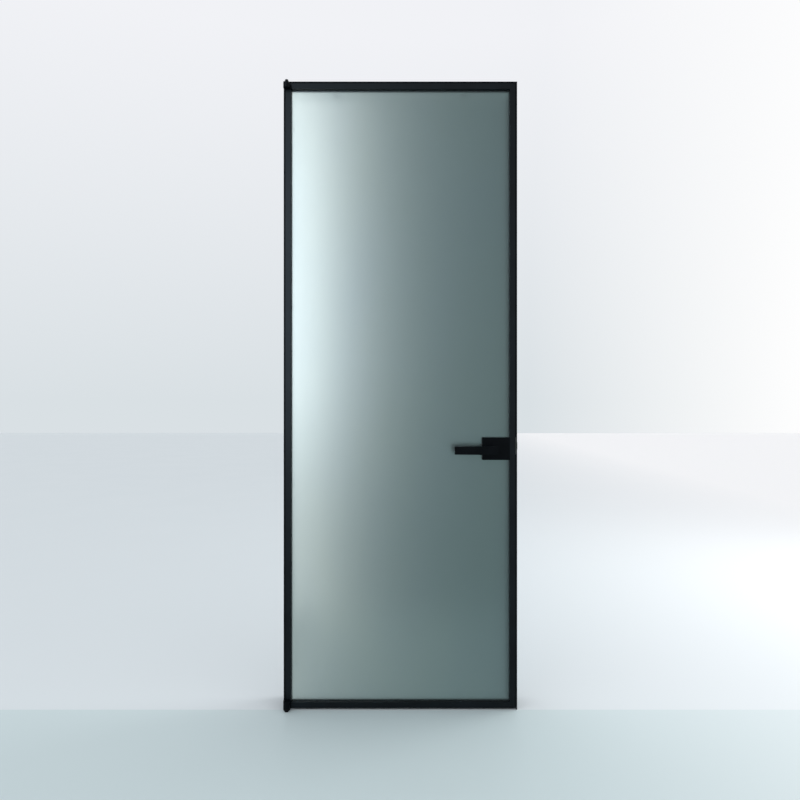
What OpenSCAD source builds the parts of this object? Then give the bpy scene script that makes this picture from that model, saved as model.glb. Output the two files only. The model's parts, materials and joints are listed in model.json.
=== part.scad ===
// Framed glass swing door in its aluminium jamb, hung on two corner pivots.
// X runs from the hinge side to the latch side, Y into the wall, Z up.
// The origin lies on the floor, in the plane of the wall's face, midway between the jambs.

/* [Frame] */
// Overall width of the frame
frame_w = 892; // [780:1:1000]
// Overall height of the frame above the floor
frame_h = 2400; // [2100:1:2700]
// Depth of the frame through the wall
frame_d = 115; // [100:1:150]
// Thickness of the thin lip that edges the wall
lip_t = 3; // [2.8:0.1:3.4]
// Width of the hollow stop behind the leaf, from the frame's outer edge
stop_w = 18; // [18:0.5:24]
// Distance from the leaf's back to the stop
seal_room = 4; // [3.5:0.5:8]
// Wall of the jamb's hollow stop
jamb_wall = 2; // [1.6:0.1:2.4]

/* [Leaf] */
// Shadow gap between the lip and the leaf
leaf_gap = 3; // [3:0.1:3.4]
// Gap between the leaf and the floor
floor_gap = 6; // [5:0.5:8]
// Width of the leaf's stiles and rails seen from the front
sight_w = 22; // [22:0.5:26]
// Thickness of the leaf
leaf_t = 32; // [32:0.5:34]
// Wall of the leaf's extrusions
leaf_wall = 2; // [1.8:0.1:2.2]
// Thickness of the glass pane
glass_t = 6; // [5:0.5:6]
// Depth of the glazing groove
groove_d = 12; // [11:0.5:12]
// Thickness of the rubber on each side of the glass
glazing_seal_t = 3; // [3:0.1:3.5]

/* [Pivots] */
// Distance from the frame's outer edge to the pivot axis
pivot_in = 14; // [14:0.5:16]
// Outer radius of the leaf's knuckles
knuckle_r = 13; // [13:0.5:13.5]
// Radius of the pivot pins
pin_r = 5; // [4:0.5:5]
// Wall of the bushes around the pins
bush_wall = 2; // [1.5:0.1:2]
// Height of the lower knuckle
lower_knuckle_h = 29.4; // [26:0.2:34]
// Height of the upper knuckle
upper_knuckle_h = 17; // [15:0.5:22]

/* [Lock and handle] */
// Width of the lock box
lock_w = 105; // [104:1:112]
// Height of the lock box
lock_h = 86; // [84:1:92]
// Height of the lock box's centre above the floor
lock_z = 997; // [900:0.5:1100]
// Distance from the lock box's centre down to the lever's axis
spindle_drop = 3; // [2:0.5:4]
// Distance from the lock box's left edge to the lever's axis
spindle_in = 38; // [36:0.5:40]
// Length of the lever
lever_l = 163; // [130:1:170]
// Height of the lever at its root
lever_root_h = 33; // [26:0.5:34]
// Height of the lever at its tip
lever_tip_h = 29.5; // [20:0.5:31]
// Thickness of the lever's flat bar
lever_t = 10; // [8:0.5:12]
// Distance from the leaf's face to the lever's outer face
lever_out = 55; // [50:1:65]
// How far the latch bolt reaches out of the leaf's edge
bolt_out = 7; // [5:0.5:8]

/* [Hidden] */

$fn = 64;
eps = 1;            // how far a cutter runs past the face it opens
fit = 0.1;          // clearance of a piece let into another
running = 0.05;     // radial clearance of everything that turns
seat = 0.05;        // radial clearance of pins and screws pressed or screwed home

black = "#1b2125";
steel = "#8d9399";
bronze = "#8a6a3c";
rubber = "#16181a";
plastic = "#222629";

// Frame outline
frame_x = frame_w / 2;
rebate_d = leaf_t + seal_room;
edge_r = 0.6;

// Leaf outline
leaf_x = frame_x - lip_t - leaf_gap;
leaf_bottom = floor_gap;
leaf_top = frame_h - lip_t - leaf_gap;
glass_front = (leaf_t - glass_t) / 2;
glass_back = glass_front + glass_t;
groove_w = glass_t + 2 * glazing_seal_t;
groove_front = (leaf_t - groove_w) / 2;
groove_back = groove_front + groove_w;
block_t = 2;
glass_in = sight_w - groove_d + block_t;
glass_r = 4;
ring_clear = 0.5;      // from the groove's floor to the glazing ring
ring_set_back = 0.4;   // how far the ring lies behind the frame's inner edge
web_chamber = sight_w - groove_d - 2 * leaf_wall;
chamber_far = leaf_wall + web_chamber;

// Screws: shank radius, head radius and head height of each kind
m4_r = 2;
m4_head_r = 3.8;
m4_head_h = 2;
m5_r = 2.5;
m5_head_r = 4.4;
m5_head_h = 2;

// Jamb seals, wall fixings and cleats
seal_in = 13;
seal_slot_w = 3;
seal_strip_w = 6;
seal_strip_t = 0.8;
seal_barb_w = 5;
seal_barb_t = 1.4;
seal_relief = 1;    // room for the hinge stile's rear corner to swing past
fixing_r = 3.5;
fixing_access_r = 7;
fixing_zs = [150, frame_h / 2 - 350, frame_h / 2 + 350, frame_h - 150];
head_fixing_xs = [-250, 250];
fixing_y = (rebate_d + frame_d) / 2;
cap_flange_r = 9;
cap_flange_t = 1.2;
cap_plug_l = 4;
cleat_l = 90;
cleat_front = rebate_d + 14;
cleat_back = frame_d - 15;
cleat_screw_at = [45, 70];
leaf_cleat_l = 84;
leaf_cleat_screw_at = [74];
jamb_screw_l = 11;
leaf_screw_l = 7.5;
leaf_screw_hole_l = 8;
floor_strip_w = 14;
floor_strip_t = 1.4;
floor_strip_in = 2;
floor_blade_t = 3;
floor_clear = 1;

// Lock case's thickness, and the latch bolt that slides in it
case_t = 11.6;
case_wall = 1.2;
case_lid_t = 1;
case_front = (leaf_t - case_t) / 2;
case_back = case_front + case_t;
slide = 0.2;        // clearance of the bolt in its case and of the case in its cuts
spindle_z = lock_z - spindle_drop;
bolt_h = 22;
bolt_z = spindle_z + 14;
bolt_front = case_front + case_wall + slide;
bolt_back = case_back - case_lid_t - slide;

// Strike, centred on the latch bolt
strike_t = 1.2;
strike_h = 66;
strike_front = 4;
strike_back = 28;
strike_screw_dz = 27.5;
box_wall = 0.9;
box_front = bolt_front - 2.6;
box_back = bolt_back + 2.9;
box_h = bolt_h + 6;
box_out = leaf_x + bolt_out + 0.5;

// Pivots
axis_x = -frame_x + pivot_in;
axis_y = -knuckle_r;
knuckle_step = 0.3;
cap_clear = 0.3;
fixed_r = knuckle_r - knuckle_step;
tip_r = 7.5;
foot_cone_h = 8;
foot_h = 10.5;
washer_t = 1;
lower_knuckle_z = foot_h + washer_t + fit;
cap_z = frame_h - 14;
cap_h = 8;
cap_straight_h = 3;
upper_knuckle_z = cap_z - cap_clear - upper_knuckle_h;
pin_head_r = 6.3;
pin_head_h = 5.5;
flag_t = 2;
flag_y1 = 28;
flag_h = 52;
flag_arm_t = 4;
flag_screw_y = 17;
flag_screw_dz = 16;
lower_flag_z = 0.2;
lower_arm_z = 4;
leaf_flag_z = leaf_bottom + 10;

// Lock box, case and follower
lock_x0 = leaf_x - sight_w - lock_w;
lock_x1 = leaf_x - sight_w;
lock_proud = 1;
cover_wall = 2;
cover_face_t = 2.5;
gasket_t = 1;
gasket_w = 5;
case_x0 = lock_x0 + 13;
case_x1 = leaf_x - leaf_wall;
case_h = 66;
case_fit = 0.3;
notch_in = 11.5;
notch_h = 69;
spindle_x = lock_x0 + spindle_in;
spindle_side = 8;
hub_r = 9;
arm_l = 17;
arm_r = 3.5;
arm_t = 8;
tail_h = 11;
tail_bottom = 13;
tail_slot_top = 21.6;
tail_slot_left = 4.6;
tail_slot_right = 5.3;
tail_left = 11;
bolt_head_l = 22;
faceplate_h = 112;
faceplate_w = 20;
faceplate_screw_dz = 49;
faceplate_head_h = leaf_wall - 0.2;
bridge_h = 18;
bridge_w = 26;
cover_screw_xs = [lock_x0 + 20, lock_x0 + 87];
cover_screw_zs = [lock_z - 25.5, lock_z + 27.5];
boss_r = 4;
spring_r = 4;
spring_wire = 0.8;
post_t = 2;
latch_spring_z = spindle_z + 7;
latch_spring_x0 = spindle_x + 24;

// Lever
neck_r = 9;
bush_r = 10.3;
bush_flange_r = 13;
bush_flange_t = 1.5;
bush_in = 4;
neck_in = 3.5;
lever_root = 15;
lever_bar_y = -lever_out;
spindle_end = 20;
grub_y = -20;

// ---- Shared shapes ----

// A rectangle with rounded corners, from x0, y0 to x1, y1.
module round_rect(x0, y0, x1, y1, r) {
    translate([x0 + r, y0]) square([x1 - x0 - 2 * r, y1 - y0]);
    translate([x0, y0 + r]) square([x1 - x0, y1 - y0 - 2 * r]);
    for (x = [x0 + r, x1 - r], y = [y0 + r, y1 - r])
        translate([x, y]) circle(r);
}

// Extrudes an X-Z outline from y0 to y1.
module across(y0, y1) {
    translate([0, y1, 0])
        rotate([90, 0, 0])
        linear_extrude(y1 - y0)
        children();
}

// A block between two corners.
module block(low, high) {
    translate(low) cube(high - low);
}

// A round bar along Y.
module bar_y(x, z, r, y0, y1) {
    translate([x, y0, z]) rotate([-90, 0, 0]) cylinder(h = y1 - y0, r = r);
}

// A countersunk screw whose head's face is at z = 0 and whose shank runs down.
module csk_screw(r, head_r, head_h, len) {
    translate([0, 0, -head_h]) cylinder(h = head_h, r1 = r, r2 = head_r);
    translate([0, 0, -len]) cylinder(h = len - head_h + 0.01, r = r);
}

// The hole that such a screw leaves, with its clearance.
module csk_hole(r, head_r, head_h, len) {
    csk_screw(r + seat, head_r + seat, head_h, len + fit);
    cylinder(h = eps, r = head_r + seat);
}

// Puts children, drawn looking down -Z, on a face that looks along -X.
module facing_minus_x(x, y, z) {
    translate([x, y, z]) rotate([0, -90, 0]) children();
}

// Puts children on a face that looks along +X.
module facing_plus_x(x, y, z) {
    translate([x, y, z]) rotate([0, 90, 0]) children();
}

// Puts children on a face that looks along +Y.
module facing_plus_y(x, y, z) {
    translate([x, y, z]) rotate([-90, 0, 0]) children();
}

// Copies children to both sides of the door.
module both_sides() {
    children();
    mirror([1, 0, 0]) children();
}

// The rear half of what is drawn for the front of the leaf.
module on_rear() {
    translate([0, leaf_t, 0]) mirror([0, 1, 0]) children();
}

// ---- Jamb ----

// Section of the jamb: x from its outer edge, y from the wall's face.
module jamb_section() {
    difference() {
        union() {
            round_rect(0, 0, lip_t, rebate_d + jamb_wall, edge_r);
            round_rect(0, rebate_d, stop_w, frame_d, edge_r);
            translate([0, rebate_d]) square([lip_t, jamb_wall + edge_r]);
        }
        translate([jamb_wall, rebate_d + jamb_wall])
            square([stop_w - 2 * jamb_wall, frame_d - rebate_d - 2 * jamb_wall]);
        translate([seal_in - seal_slot_w / 2, rebate_d - eps])
            square([seal_slot_w, jamb_wall + 2 * eps]);
    }
}

// Keeps what lies on the hinge side of the top mitre.
module upright_mitre() {
    intersection() {
        children();
        across(-eps, frame_d + eps)
            polygon([
                [-frame_x, 0], [-frame_x + stop_w, 0],
                [-frame_x + stop_w, frame_h - stop_w], [-frame_x, frame_h]
            ]);
    }
}

// Keeps what lies above both top mitres.
module head_mitre() {
    intersection() {
        children();
        across(-eps, frame_d + eps)
            polygon([
                [-frame_x, frame_h], [-frame_x + stop_w, frame_h - stop_w],
                [frame_x - stop_w, frame_h - stop_w], [frame_x, frame_h]
            ]);
    }
}

// Stands a section up as the hinge-side member.
module upright() {
    translate([-frame_x, 0, 0]) linear_extrude(frame_h) children();
}

// Lays a section along the head.
module along_head() {
    translate([-frame_x, 0, frame_h]) rotate([0, 90, 0]) linear_extrude(frame_w) children();
}

// Screw hole in the outer wall and its access hole in the inner wall, along a hole axis of +Z.
module wall_fixing() {
    translate([0, 0, -eps]) cylinder(h = jamb_wall + 2 * eps, r = fixing_r);
    translate([0, 0, stop_w - jamb_wall - eps]) cylinder(h = jamb_wall + 2 * eps, r = fixing_access_r);
}

// Where the jamb's cleat screws go on one side, on the hinge-side upright and the head.
module at_cleat_screws() {
    for (d = cleat_screw_at) {
        facing_minus_x(-frame_x, fixing_y, frame_h - d) children();
        translate([-frame_x + d, fixing_y, frame_h]) children();
    }
}

module jamb_upright_blank() {
    difference() {
        upright_mitre() upright() jamb_section();
        for (z = fixing_zs)
            facing_plus_x(-frame_x, fixing_y, z) wall_fixing();
        at_cleat_screws() csk_hole(m5_r, m5_head_r, m5_head_h, jamb_wall + eps);
    }
}

module jamb_hinge_side() {
    color(black) difference() {
        jamb_upright_blank();
        at_frame_bracket_screws() csk_hole(m4_r, m4_head_r, m4_head_h, lip_t + flag_t + eps);
    }
}

module jamb_latch_side() {
    color(black) difference() {
        mirror([1, 0, 0]) jamb_upright_blank();
        block([frame_x - lip_t - eps, box_front, bolt_z - box_h / 2],
              [frame_x + eps, box_back, bolt_z + box_h / 2]);
        at_strike_screws() csk_hole(m4_r, m4_head_r, m4_head_h, lip_t + strike_t + eps);
    }
}

module jamb_head() {
    color(black) difference() {
        head_mitre() along_head() jamb_section();
        for (x = head_fixing_xs)
            translate([x, fixing_y, frame_h]) rotate([180, 0, 0]) wall_fixing();
        both_sides() at_cleat_screws() csk_hole(m5_r, m5_head_r, m5_head_h, jamb_wall + eps);
    }
}

module jamb_corner_cleats() {
    out = jamb_wall + fit;
    inside = stop_w - jamb_wall - fit;
    color(steel) both_sides() difference() {
        across(cleat_front, cleat_back)
            polygon([
                [-frame_x + out, frame_h - cleat_l], [-frame_x + inside, frame_h - cleat_l],
                [-frame_x + inside, frame_h - inside], [-frame_x + cleat_l, frame_h - inside],
                [-frame_x + cleat_l, frame_h - out], [-frame_x + out, frame_h - out]
            ]);
        at_cleat_screws() csk_hole(m5_r, m5_head_r, m5_head_h, jamb_screw_l);
    }
}

module jamb_cleat_screws() {
    color(steel) both_sides() at_cleat_screws() csk_screw(m5_r, m5_head_r, m5_head_h, jamb_screw_l);
}

// Section of a jamb seal: a tube on a strip, held by a barbed foot.
module seal_section() {
    tube_r = (seal_room - seal_relief) / 2;
    difference() {
        union() {
            translate([seal_in, rebate_d - tube_r]) circle(tube_r);
            translate([seal_in - seal_strip_w / 2, rebate_d - seal_strip_t])
                square([seal_strip_w, seal_strip_t]);
            translate([seal_in - seal_slot_w / 2 + fit, rebate_d - seal_strip_t / 2])
                square([seal_slot_w - 2 * fit, jamb_wall + seal_strip_t]);
            translate([seal_in - seal_barb_w / 2, rebate_d + jamb_wall + fit])
                square([seal_barb_w, seal_barb_t]);
        }
        translate([seal_in, rebate_d - tube_r]) circle(tube_r * 0.55);
    }
}

module jamb_seal_hinge_side() {
    color(rubber) upright_mitre() upright() seal_section();
}

module jamb_seal_latch_side() {
    color(rubber) mirror([1, 0, 0]) upright_mitre() upright() seal_section();
}

module jamb_seal_head() {
    color(rubber) head_mitre() along_head() seal_section();
}

// A plug for a wall fixing's access hole, its flange's face outward along +Z.
module fixing_cap() {
    cylinder(h = cap_flange_t, r = cap_flange_r);
    translate([0, 0, -cap_plug_l]) cylinder(h = cap_plug_l + 0.1, r = fixing_access_r - fit);
}

module jamb_fixing_caps() {
    color(plastic) {
        both_sides()
            for (z = fixing_zs)
                facing_plus_x(-frame_x + stop_w, fixing_y, z) fixing_cap();
        for (x = head_fixing_xs)
            translate([x, fixing_y, frame_h - stop_w]) rotate([180, 0, 0]) fixing_cap();
    }
}

// ---- Strike ----

module at_strike_screws() {
    for (s = [-1, 1])
        facing_minus_x(frame_x - lip_t - strike_t, (strike_front + strike_back) / 2,
                       bolt_z + s * strike_screw_dz) children();
}

module strike_plate() {
    color(steel) difference() {
        block([frame_x - lip_t - strike_t, strike_front, bolt_z - strike_h / 2],
              [frame_x - lip_t, strike_back, bolt_z + strike_h / 2]);
        block([frame_x - lip_t - strike_t - eps, box_front + box_wall, bolt_z - box_h / 2 + box_wall],
              [frame_x - lip_t + eps, box_back - box_wall, bolt_z + box_h / 2 - box_wall]);
        at_strike_screws() csk_hole(m4_r, m4_head_r, strike_t, lip_t);
    }
}

module strike_box() {
    color(plastic) difference() {
        block([frame_x - lip_t, box_front + fit, bolt_z - box_h / 2 + fit],
              [box_out + box_wall, box_back - fit, bolt_z + box_h / 2 - fit]);
        block([frame_x - lip_t - eps, box_front + box_wall, bolt_z - box_h / 2 + box_wall],
              [box_out, box_back - box_wall, bolt_z + box_h / 2 - box_wall]);
    }
}

module strike_screws() {
    color(steel) at_strike_screws() csk_screw(m4_r, m4_head_r, strike_t, strike_t + lip_t);
}

// ---- Pivots ----

// Where the screws of the fixed flags go, on the side that faces the leaf.
module at_frame_bracket_screws() {
    for (z = [lower_flag_z + 10, cap_z + cap_h - 10], i = [0, 1, 2])
        translate([-frame_x + lip_t + flag_t, flag_screw_y,
                   z + i * flag_screw_dz * (z < frame_h / 2 ? 1 : -1)])
            rotate([0, 90, 0]) children();
}

// The flat flag in the shadow gap, with the arm that reaches forward to the axis.
module fixed_flag(z0, z1, arm_z0, arm_z1) {
    block([-frame_x + lip_t, fit, z0], [-frame_x + lip_t + flag_t, flag_y1, z1]);
    block([-frame_x + lip_t, axis_y, arm_z0], [-frame_x + lip_t + flag_t, flag_y1, arm_z1]);
    block([-frame_x + lip_t + flag_t - flag_arm_t, axis_y, arm_z0],
          [-frame_x + lip_t + flag_t, -0.4, arm_z1]);
}

module lower_frame_bracket() {
    color(black) difference() {
        union() {
            translate([axis_x, axis_y, 0]) cylinder(h = foot_cone_h, r1 = tip_r, r2 = fixed_r);
            translate([axis_x, axis_y, foot_cone_h - 0.01])
                cylinder(h = foot_h - foot_cone_h + 0.01, r = fixed_r);
            fixed_flag(lower_flag_z, lower_flag_z + flag_h, lower_arm_z, foot_h);
        }
        translate([axis_x, axis_y, 2]) cylinder(h = foot_h, r = pin_r + seat);
        at_frame_bracket_screws() csk_hole(m4_r, m4_head_r, m4_head_h, lip_t + flag_t + eps);
    }
}

module upper_frame_bracket() {
    color(black) difference() {
        union() {
            translate([axis_x, axis_y, cap_z]) cylinder(h = cap_straight_h, r = fixed_r);
            translate([axis_x, axis_y, cap_z + cap_straight_h - 0.01])
                cylinder(h = cap_h - cap_straight_h + 0.01, r1 = fixed_r, r2 = tip_r);
            fixed_flag(cap_z + cap_h - flag_h, cap_z + cap_h, cap_z, cap_z + cap_h);
        }
        translate([axis_x, axis_y, cap_z - eps]) cylinder(h = cap_h + 2 * eps, r = pin_r + seat);
        at_frame_bracket_screws() csk_hole(m4_r, m4_head_r, m4_head_h, lip_t + flag_t + eps);
    }
}

module frame_bracket_screws() {
    color(steel) at_frame_bracket_screws()
        csk_screw(m4_r, m4_head_r, m4_head_h, lip_t + flag_t);
}

module lower_pivot_pin() {
    color(steel) translate([axis_x, axis_y, 2])
        cylinder(h = lower_knuckle_z + lower_knuckle_h - 8, r = pin_r);
}

module upper_pivot_pin() {
    top = cap_z + cap_h;
    bottom = upper_knuckle_z + 5;
    color(black) translate([axis_x, axis_y, 0]) {
        translate([0, 0, top]) cylinder(h = pin_head_h, r = pin_head_r);
        translate([0, 0, bottom]) cylinder(h = top - bottom + 0.1, r = pin_r);
    }
}

module thrust_washer() {
    color(bronze) translate([axis_x, axis_y, foot_h]) difference() {
        cylinder(h = washer_t, r = fixed_r - 1);
        translate([0, 0, -eps]) cylinder(h = washer_t + 2 * eps, r = pin_r + running);
    }
}

// The leaf's knuckle: a round barrel, a lug back to the leaf's face and a flag in its edge.
module knuckle_body(z0, h, flag) {
    translate([axis_x, axis_y, z0]) cylinder(h = h, r = knuckle_r);
    block([-leaf_x, axis_y, z0], [axis_x + knuckle_r, 0, z0 + h]);
    leaf_flag(flag[0], flag[1], 0);
    block([-leaf_x, axis_y, max(z0, flag[0])],
          [-leaf_x + leaf_wall, eps, min(z0 + h, flag[1])]);
}

// Where the knuckles' screws go in the leaf's edge.
module at_leaf_knuckle_screws() {
    for (z = [leaf_flag_z + 10, frame_h - leaf_flag_z - 10], i = [0, 1, 2])
        facing_minus_x(-leaf_x, flag_screw_y, z + i * flag_screw_dz * (z < frame_h / 2 ? 1 : -1))
            children();
}

// The flag let into the leaf's edge, and the recess that takes it when grown by clear.
module leaf_flag(z0, z1, clear) {
    past = clear > 0 ? eps : 0;
    block([-leaf_x - past, -past, z0 - clear],
          [-leaf_x + leaf_wall, flag_y1 + clear, z1 + clear]);
}

// Lower end, upper end of each leaf flag.
lower_leaf_flag = [leaf_flag_z, leaf_flag_z + flag_h];
upper_leaf_flag = [frame_h - leaf_flag_z - flag_h, frame_h - leaf_flag_z];

module lower_leaf_knuckle() {
    bush_top = lower_knuckle_z + lower_knuckle_h - 5;
    color(black) difference() {
        knuckle_body(lower_knuckle_z, lower_knuckle_h, lower_leaf_flag);
        translate([axis_x, axis_y, lower_knuckle_z - eps])
            cylinder(h = bush_top - lower_knuckle_z + eps, r = pin_r + bush_wall + seat);
        at_leaf_knuckle_screws() csk_hole(m5_r, m5_head_r, m5_head_h, leaf_screw_hole_l);
    }
}

module upper_leaf_knuckle() {
    bush_bottom = upper_knuckle_z + 4;
    top = upper_knuckle_z + upper_knuckle_h;
    color(black) difference() {
        knuckle_body(upper_knuckle_z, upper_knuckle_h, upper_leaf_flag);
        translate([axis_x, axis_y, bush_bottom])
            cylinder(h = top - bush_bottom + eps, r = pin_r + bush_wall + seat);
        at_leaf_knuckle_screws() csk_hole(m5_r, m5_head_r, m5_head_h, leaf_screw_hole_l);
    }
}

module leaf_knuckle_screws() {
    color(steel) at_leaf_knuckle_screws() csk_screw(m5_r, m5_head_r, m5_head_h, leaf_screw_l);
}

// A plain bush around a pivot pin.
module pivot_bush(z0, z1) {
    translate([axis_x, axis_y, z0]) difference() {
        cylinder(h = z1 - z0, r = pin_r + bush_wall);
        translate([0, 0, -eps]) cylinder(h = z1 - z0 + 2 * eps, r = pin_r + running);
    }
}

module lower_pivot_bush() {
    color(bronze) pivot_bush(lower_knuckle_z, lower_knuckle_z + lower_knuckle_h - 5.2);
}

module upper_pivot_bush() {
    color(bronze) pivot_bush(upper_knuckle_z + 4.2, upper_knuckle_z + upper_knuckle_h);
}

// ---- Leaf frame ----

// Section of the leaf's extrusion: x from its outer edge, y from its front face.
module leaf_section() {
    leg_l = groove_d - leaf_wall;
    leg_t = groove_front - 2 * leaf_wall;
    difference() {
        round_rect(0, 0, sight_w, leaf_t, edge_r);
        translate([sight_w - groove_d, groove_front]) square([groove_d + eps, groove_w]);
        translate([leaf_wall, leaf_wall]) square([web_chamber, leaf_t - 2 * leaf_wall]);
        for (y = [leaf_wall, leaf_t - leaf_wall - leg_t])
            translate([sight_w - groove_d, y]) square([leg_l, leg_t]);
    }
}

// Where the leaf's corner screws go: two at each corner, one in the stile and one in the rail.
module at_leaf_corner_screws() {
    for (d = leaf_cleat_screw_at) both_sides() {
        facing_minus_x(-leaf_x, leaf_t / 2, leaf_bottom + d) children();
        facing_minus_x(-leaf_x, leaf_t / 2, leaf_top - d) children();
        translate([-leaf_x + d, leaf_t / 2, leaf_bottom]) rotate([180, 0, 0]) children();
        translate([-leaf_x + d, leaf_t / 2, leaf_top]) children();
    }
}

// The hinge-side stile, mitred at both ends.
module stile_blank() {
    difference() {
        intersection() {
            translate([-leaf_x, 0, 0]) linear_extrude(frame_h) leaf_section();
            across(-eps, leaf_t + eps)
                polygon([
                    [-leaf_x, leaf_bottom], [-leaf_x + sight_w, leaf_bottom + sight_w],
                    [-leaf_x + sight_w, leaf_top - sight_w], [-leaf_x, leaf_top]
                ]);
        }
        at_leaf_corner_screws() csk_hole(m5_r, m5_head_r, m5_head_h, leaf_wall + eps);
    }
}

// A rail lying at z0, its outer edge down, mitred at both ends.
module rail_blank(z0) {
    intersection() {
        translate([leaf_x, 0, z0]) rotate([0, -90, 0]) linear_extrude(2 * leaf_x) leaf_section();
        across(-eps, leaf_t + eps)
            polygon([
                [-leaf_x, z0], [leaf_x, z0],
                [leaf_x - sight_w, z0 + sight_w], [-leaf_x + sight_w, z0 + sight_w]
            ]);
    }
}

module hinge_stile() {
    color(black) difference() {
        stile_blank();
        leaf_flag(lower_leaf_flag[0], lower_leaf_flag[1], fit);
        leaf_flag(upper_leaf_flag[0], upper_leaf_flag[1], fit);
    }
}

module lock_stile() {
    color(black) difference() {
        mirror([1, 0, 0]) stile_blank();
        faceplate_blank(fit, eps);
        block([lock_x1 - eps, groove_front, lock_z - case_h / 2 - case_fit],
              [leaf_x, groove_back, lock_z + case_h / 2 + case_fit]);
    }
}

module bottom_rail() {
    color(black) difference() {
        rail_blank(leaf_bottom);
        at_leaf_corner_screws() csk_hole(m5_r, m5_head_r, m5_head_h, leaf_wall + eps);
    }
}

module top_rail() {
    color(black) difference() {
        translate([0, 0, leaf_top]) mirror([0, 0, 1]) rail_blank(0);
        at_leaf_corner_screws() csk_hole(m5_r, m5_head_r, m5_head_h, leaf_wall + eps);
    }
}

// The L-shaped block inside one corner, drawn at the hinge side's foot.
module leaf_cleat_outline() {
    out = leaf_wall + fit;
    inside = chamber_far - fit;
    polygon([
        [out, out], [leaf_cleat_l, out], [leaf_cleat_l, inside],
        [inside, inside], [inside, leaf_cleat_l], [out, leaf_cleat_l]
    ]);
}

module leaf_corner_cleats() {
    color(steel) difference() {
        both_sides() {
            translate([-leaf_x, 0, leaf_bottom])
                across(leaf_wall + fit, leaf_t - leaf_wall - fit) leaf_cleat_outline();
            translate([-leaf_x, 0, leaf_top]) mirror([0, 0, 1])
                across(leaf_wall + fit, leaf_t - leaf_wall - fit) leaf_cleat_outline();
        }
        at_leaf_corner_screws() csk_hole(m5_r, m5_head_r, m5_head_h, leaf_screw_hole_l);
        at_leaf_knuckle_screws() csk_hole(m5_r, m5_head_r, m5_head_h, leaf_screw_hole_l);
    }
}

module leaf_corner_screws() {
    color(steel) at_leaf_corner_screws() csk_screw(m5_r, m5_head_r, m5_head_h, leaf_screw_l);
}

// A strip under the bottom rail with a blade that hangs down almost to the floor.
module floor_seal() {
    x = leaf_x - floor_strip_in;
    color(rubber) {
        block([-x, (leaf_t - floor_strip_w) / 2, leaf_bottom - floor_strip_t],
              [x, (leaf_t + floor_strip_w) / 2, leaf_bottom]);
        block([-x, (leaf_t - floor_blade_t) / 2, floor_clear],
              [x, (leaf_t + floor_blade_t) / 2, leaf_bottom - floor_strip_t + 0.01]);
    }
}

// ---- Glazing ----

module glass_pane() {
    color("#8fa9a8", 0.6) across(glass_front, glass_back) difference() {
        translate([-leaf_x + glass_in, leaf_bottom + glass_in])
            square([2 * (leaf_x - glass_in), leaf_top - leaf_bottom - 2 * glass_in]);
        round_rect(lock_x0 + notch_in, lock_z - notch_h / 2,
                   leaf_x, lock_z + notch_h / 2, glass_r);
    }
}

// A ring of rubber in the glazing groove between two depths.
module glazing_ring(y0, y1) {
    outer = sight_w - groove_d + ring_clear;
    inner = sight_w - ring_set_back;
    difference() {
        across(y0, y1) difference() {
            translate([-leaf_x + outer, leaf_bottom + outer])
                square([2 * (leaf_x - outer), leaf_top - leaf_bottom - 2 * outer]);
            translate([-leaf_x + inner, leaf_bottom + inner])
                square([2 * (leaf_x - inner), leaf_top - leaf_bottom - 2 * inner]);
        }
        block([lock_x1 - eps, groove_front - eps, lock_z - notch_h / 2],
              [leaf_x, groove_back + eps, lock_z + notch_h / 2]);
    }
}

module front_glazing_seal() {
    color(rubber) glazing_ring(groove_front, glass_front);
}

module rear_glazing_seal() {
    color(rubber) glazing_ring(glass_back, groove_back);
}

module glazing_blocks() {
    block_l = 100;
    depth = sight_w - groove_d;
    glass_x = leaf_x - depth;
    color(plastic) {
        for (x = [-glass_x + 80, glass_x - 80 - block_l]) {
            block([x, glass_front, leaf_bottom + depth],
                  [x + block_l, glass_back, leaf_bottom + depth + block_t]);
            block([x, glass_front, leaf_top - depth - block_t],
                  [x + block_l, glass_back, leaf_top - depth]);
        }
        both_sides()
            for (z = [leaf_bottom + 200, leaf_top - 200 - block_l])
                block([-glass_x, glass_front, z], [-glass_x + block_t, glass_back, z + block_l]);
    }
}

// ---- Lock box ----

// The cut that lets the lock case through a cover or gasket.
module case_way() {
    block([case_x0 - case_fit, case_front - slide, lock_z - case_h / 2 - case_fit],
          [leaf_x, case_back + slide, lock_z + case_h / 2 + case_fit]);
}

// Outline of the lock box, drawn in X-Z and taken in by an amount.
module lock_outline(inset, r) {
    round_rect(lock_x0 + inset, lock_z - lock_h / 2 + inset,
               lock_x1 - inset, lock_z + lock_h / 2 - inset, r);
}

// A cover as drawn on the front: a face, four walls and four screw pillars.
module lock_cover() {
    back = glass_front - gasket_t;
    difference() {
        union() {
            difference() {
                across(-lock_proud, back) lock_outline(0, 2);
                across(-lock_proud + cover_face_t, back + eps) lock_outline(cover_wall, 1);
            }
            for (x = cover_screw_xs, z = cover_screw_zs)
                bar_y(x, z, boss_r, 0, case_front);
        }
        case_way();
        bar_y(spindle_x, spindle_z, bush_r, -lock_proud - eps, back);
    }
}

module lock_front_cover() {
    color(black) difference() {
        lock_cover();
        for (x = cover_screw_xs, z = cover_screw_zs)
            bar_y(x, z, m4_r + seat, 3, case_front + eps);
    }
}

module lock_rear_cover() {
    color(black) difference() {
        on_rear() lock_cover();
        at_cover_screws() csk_hole(m4_r, m4_head_r, m4_head_h, leaf_t);
    }
}

module at_cover_screws() {
    for (x = cover_screw_xs, z = cover_screw_zs)
        translate([x, leaf_t + lock_proud, z]) rotate([-90, 0, 0]) children();
}

module lock_cover_screws() {
    color(steel) at_cover_screws()
        csk_screw(m4_r, m4_head_r, m4_head_h, leaf_t + lock_proud - 4);
}

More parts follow.
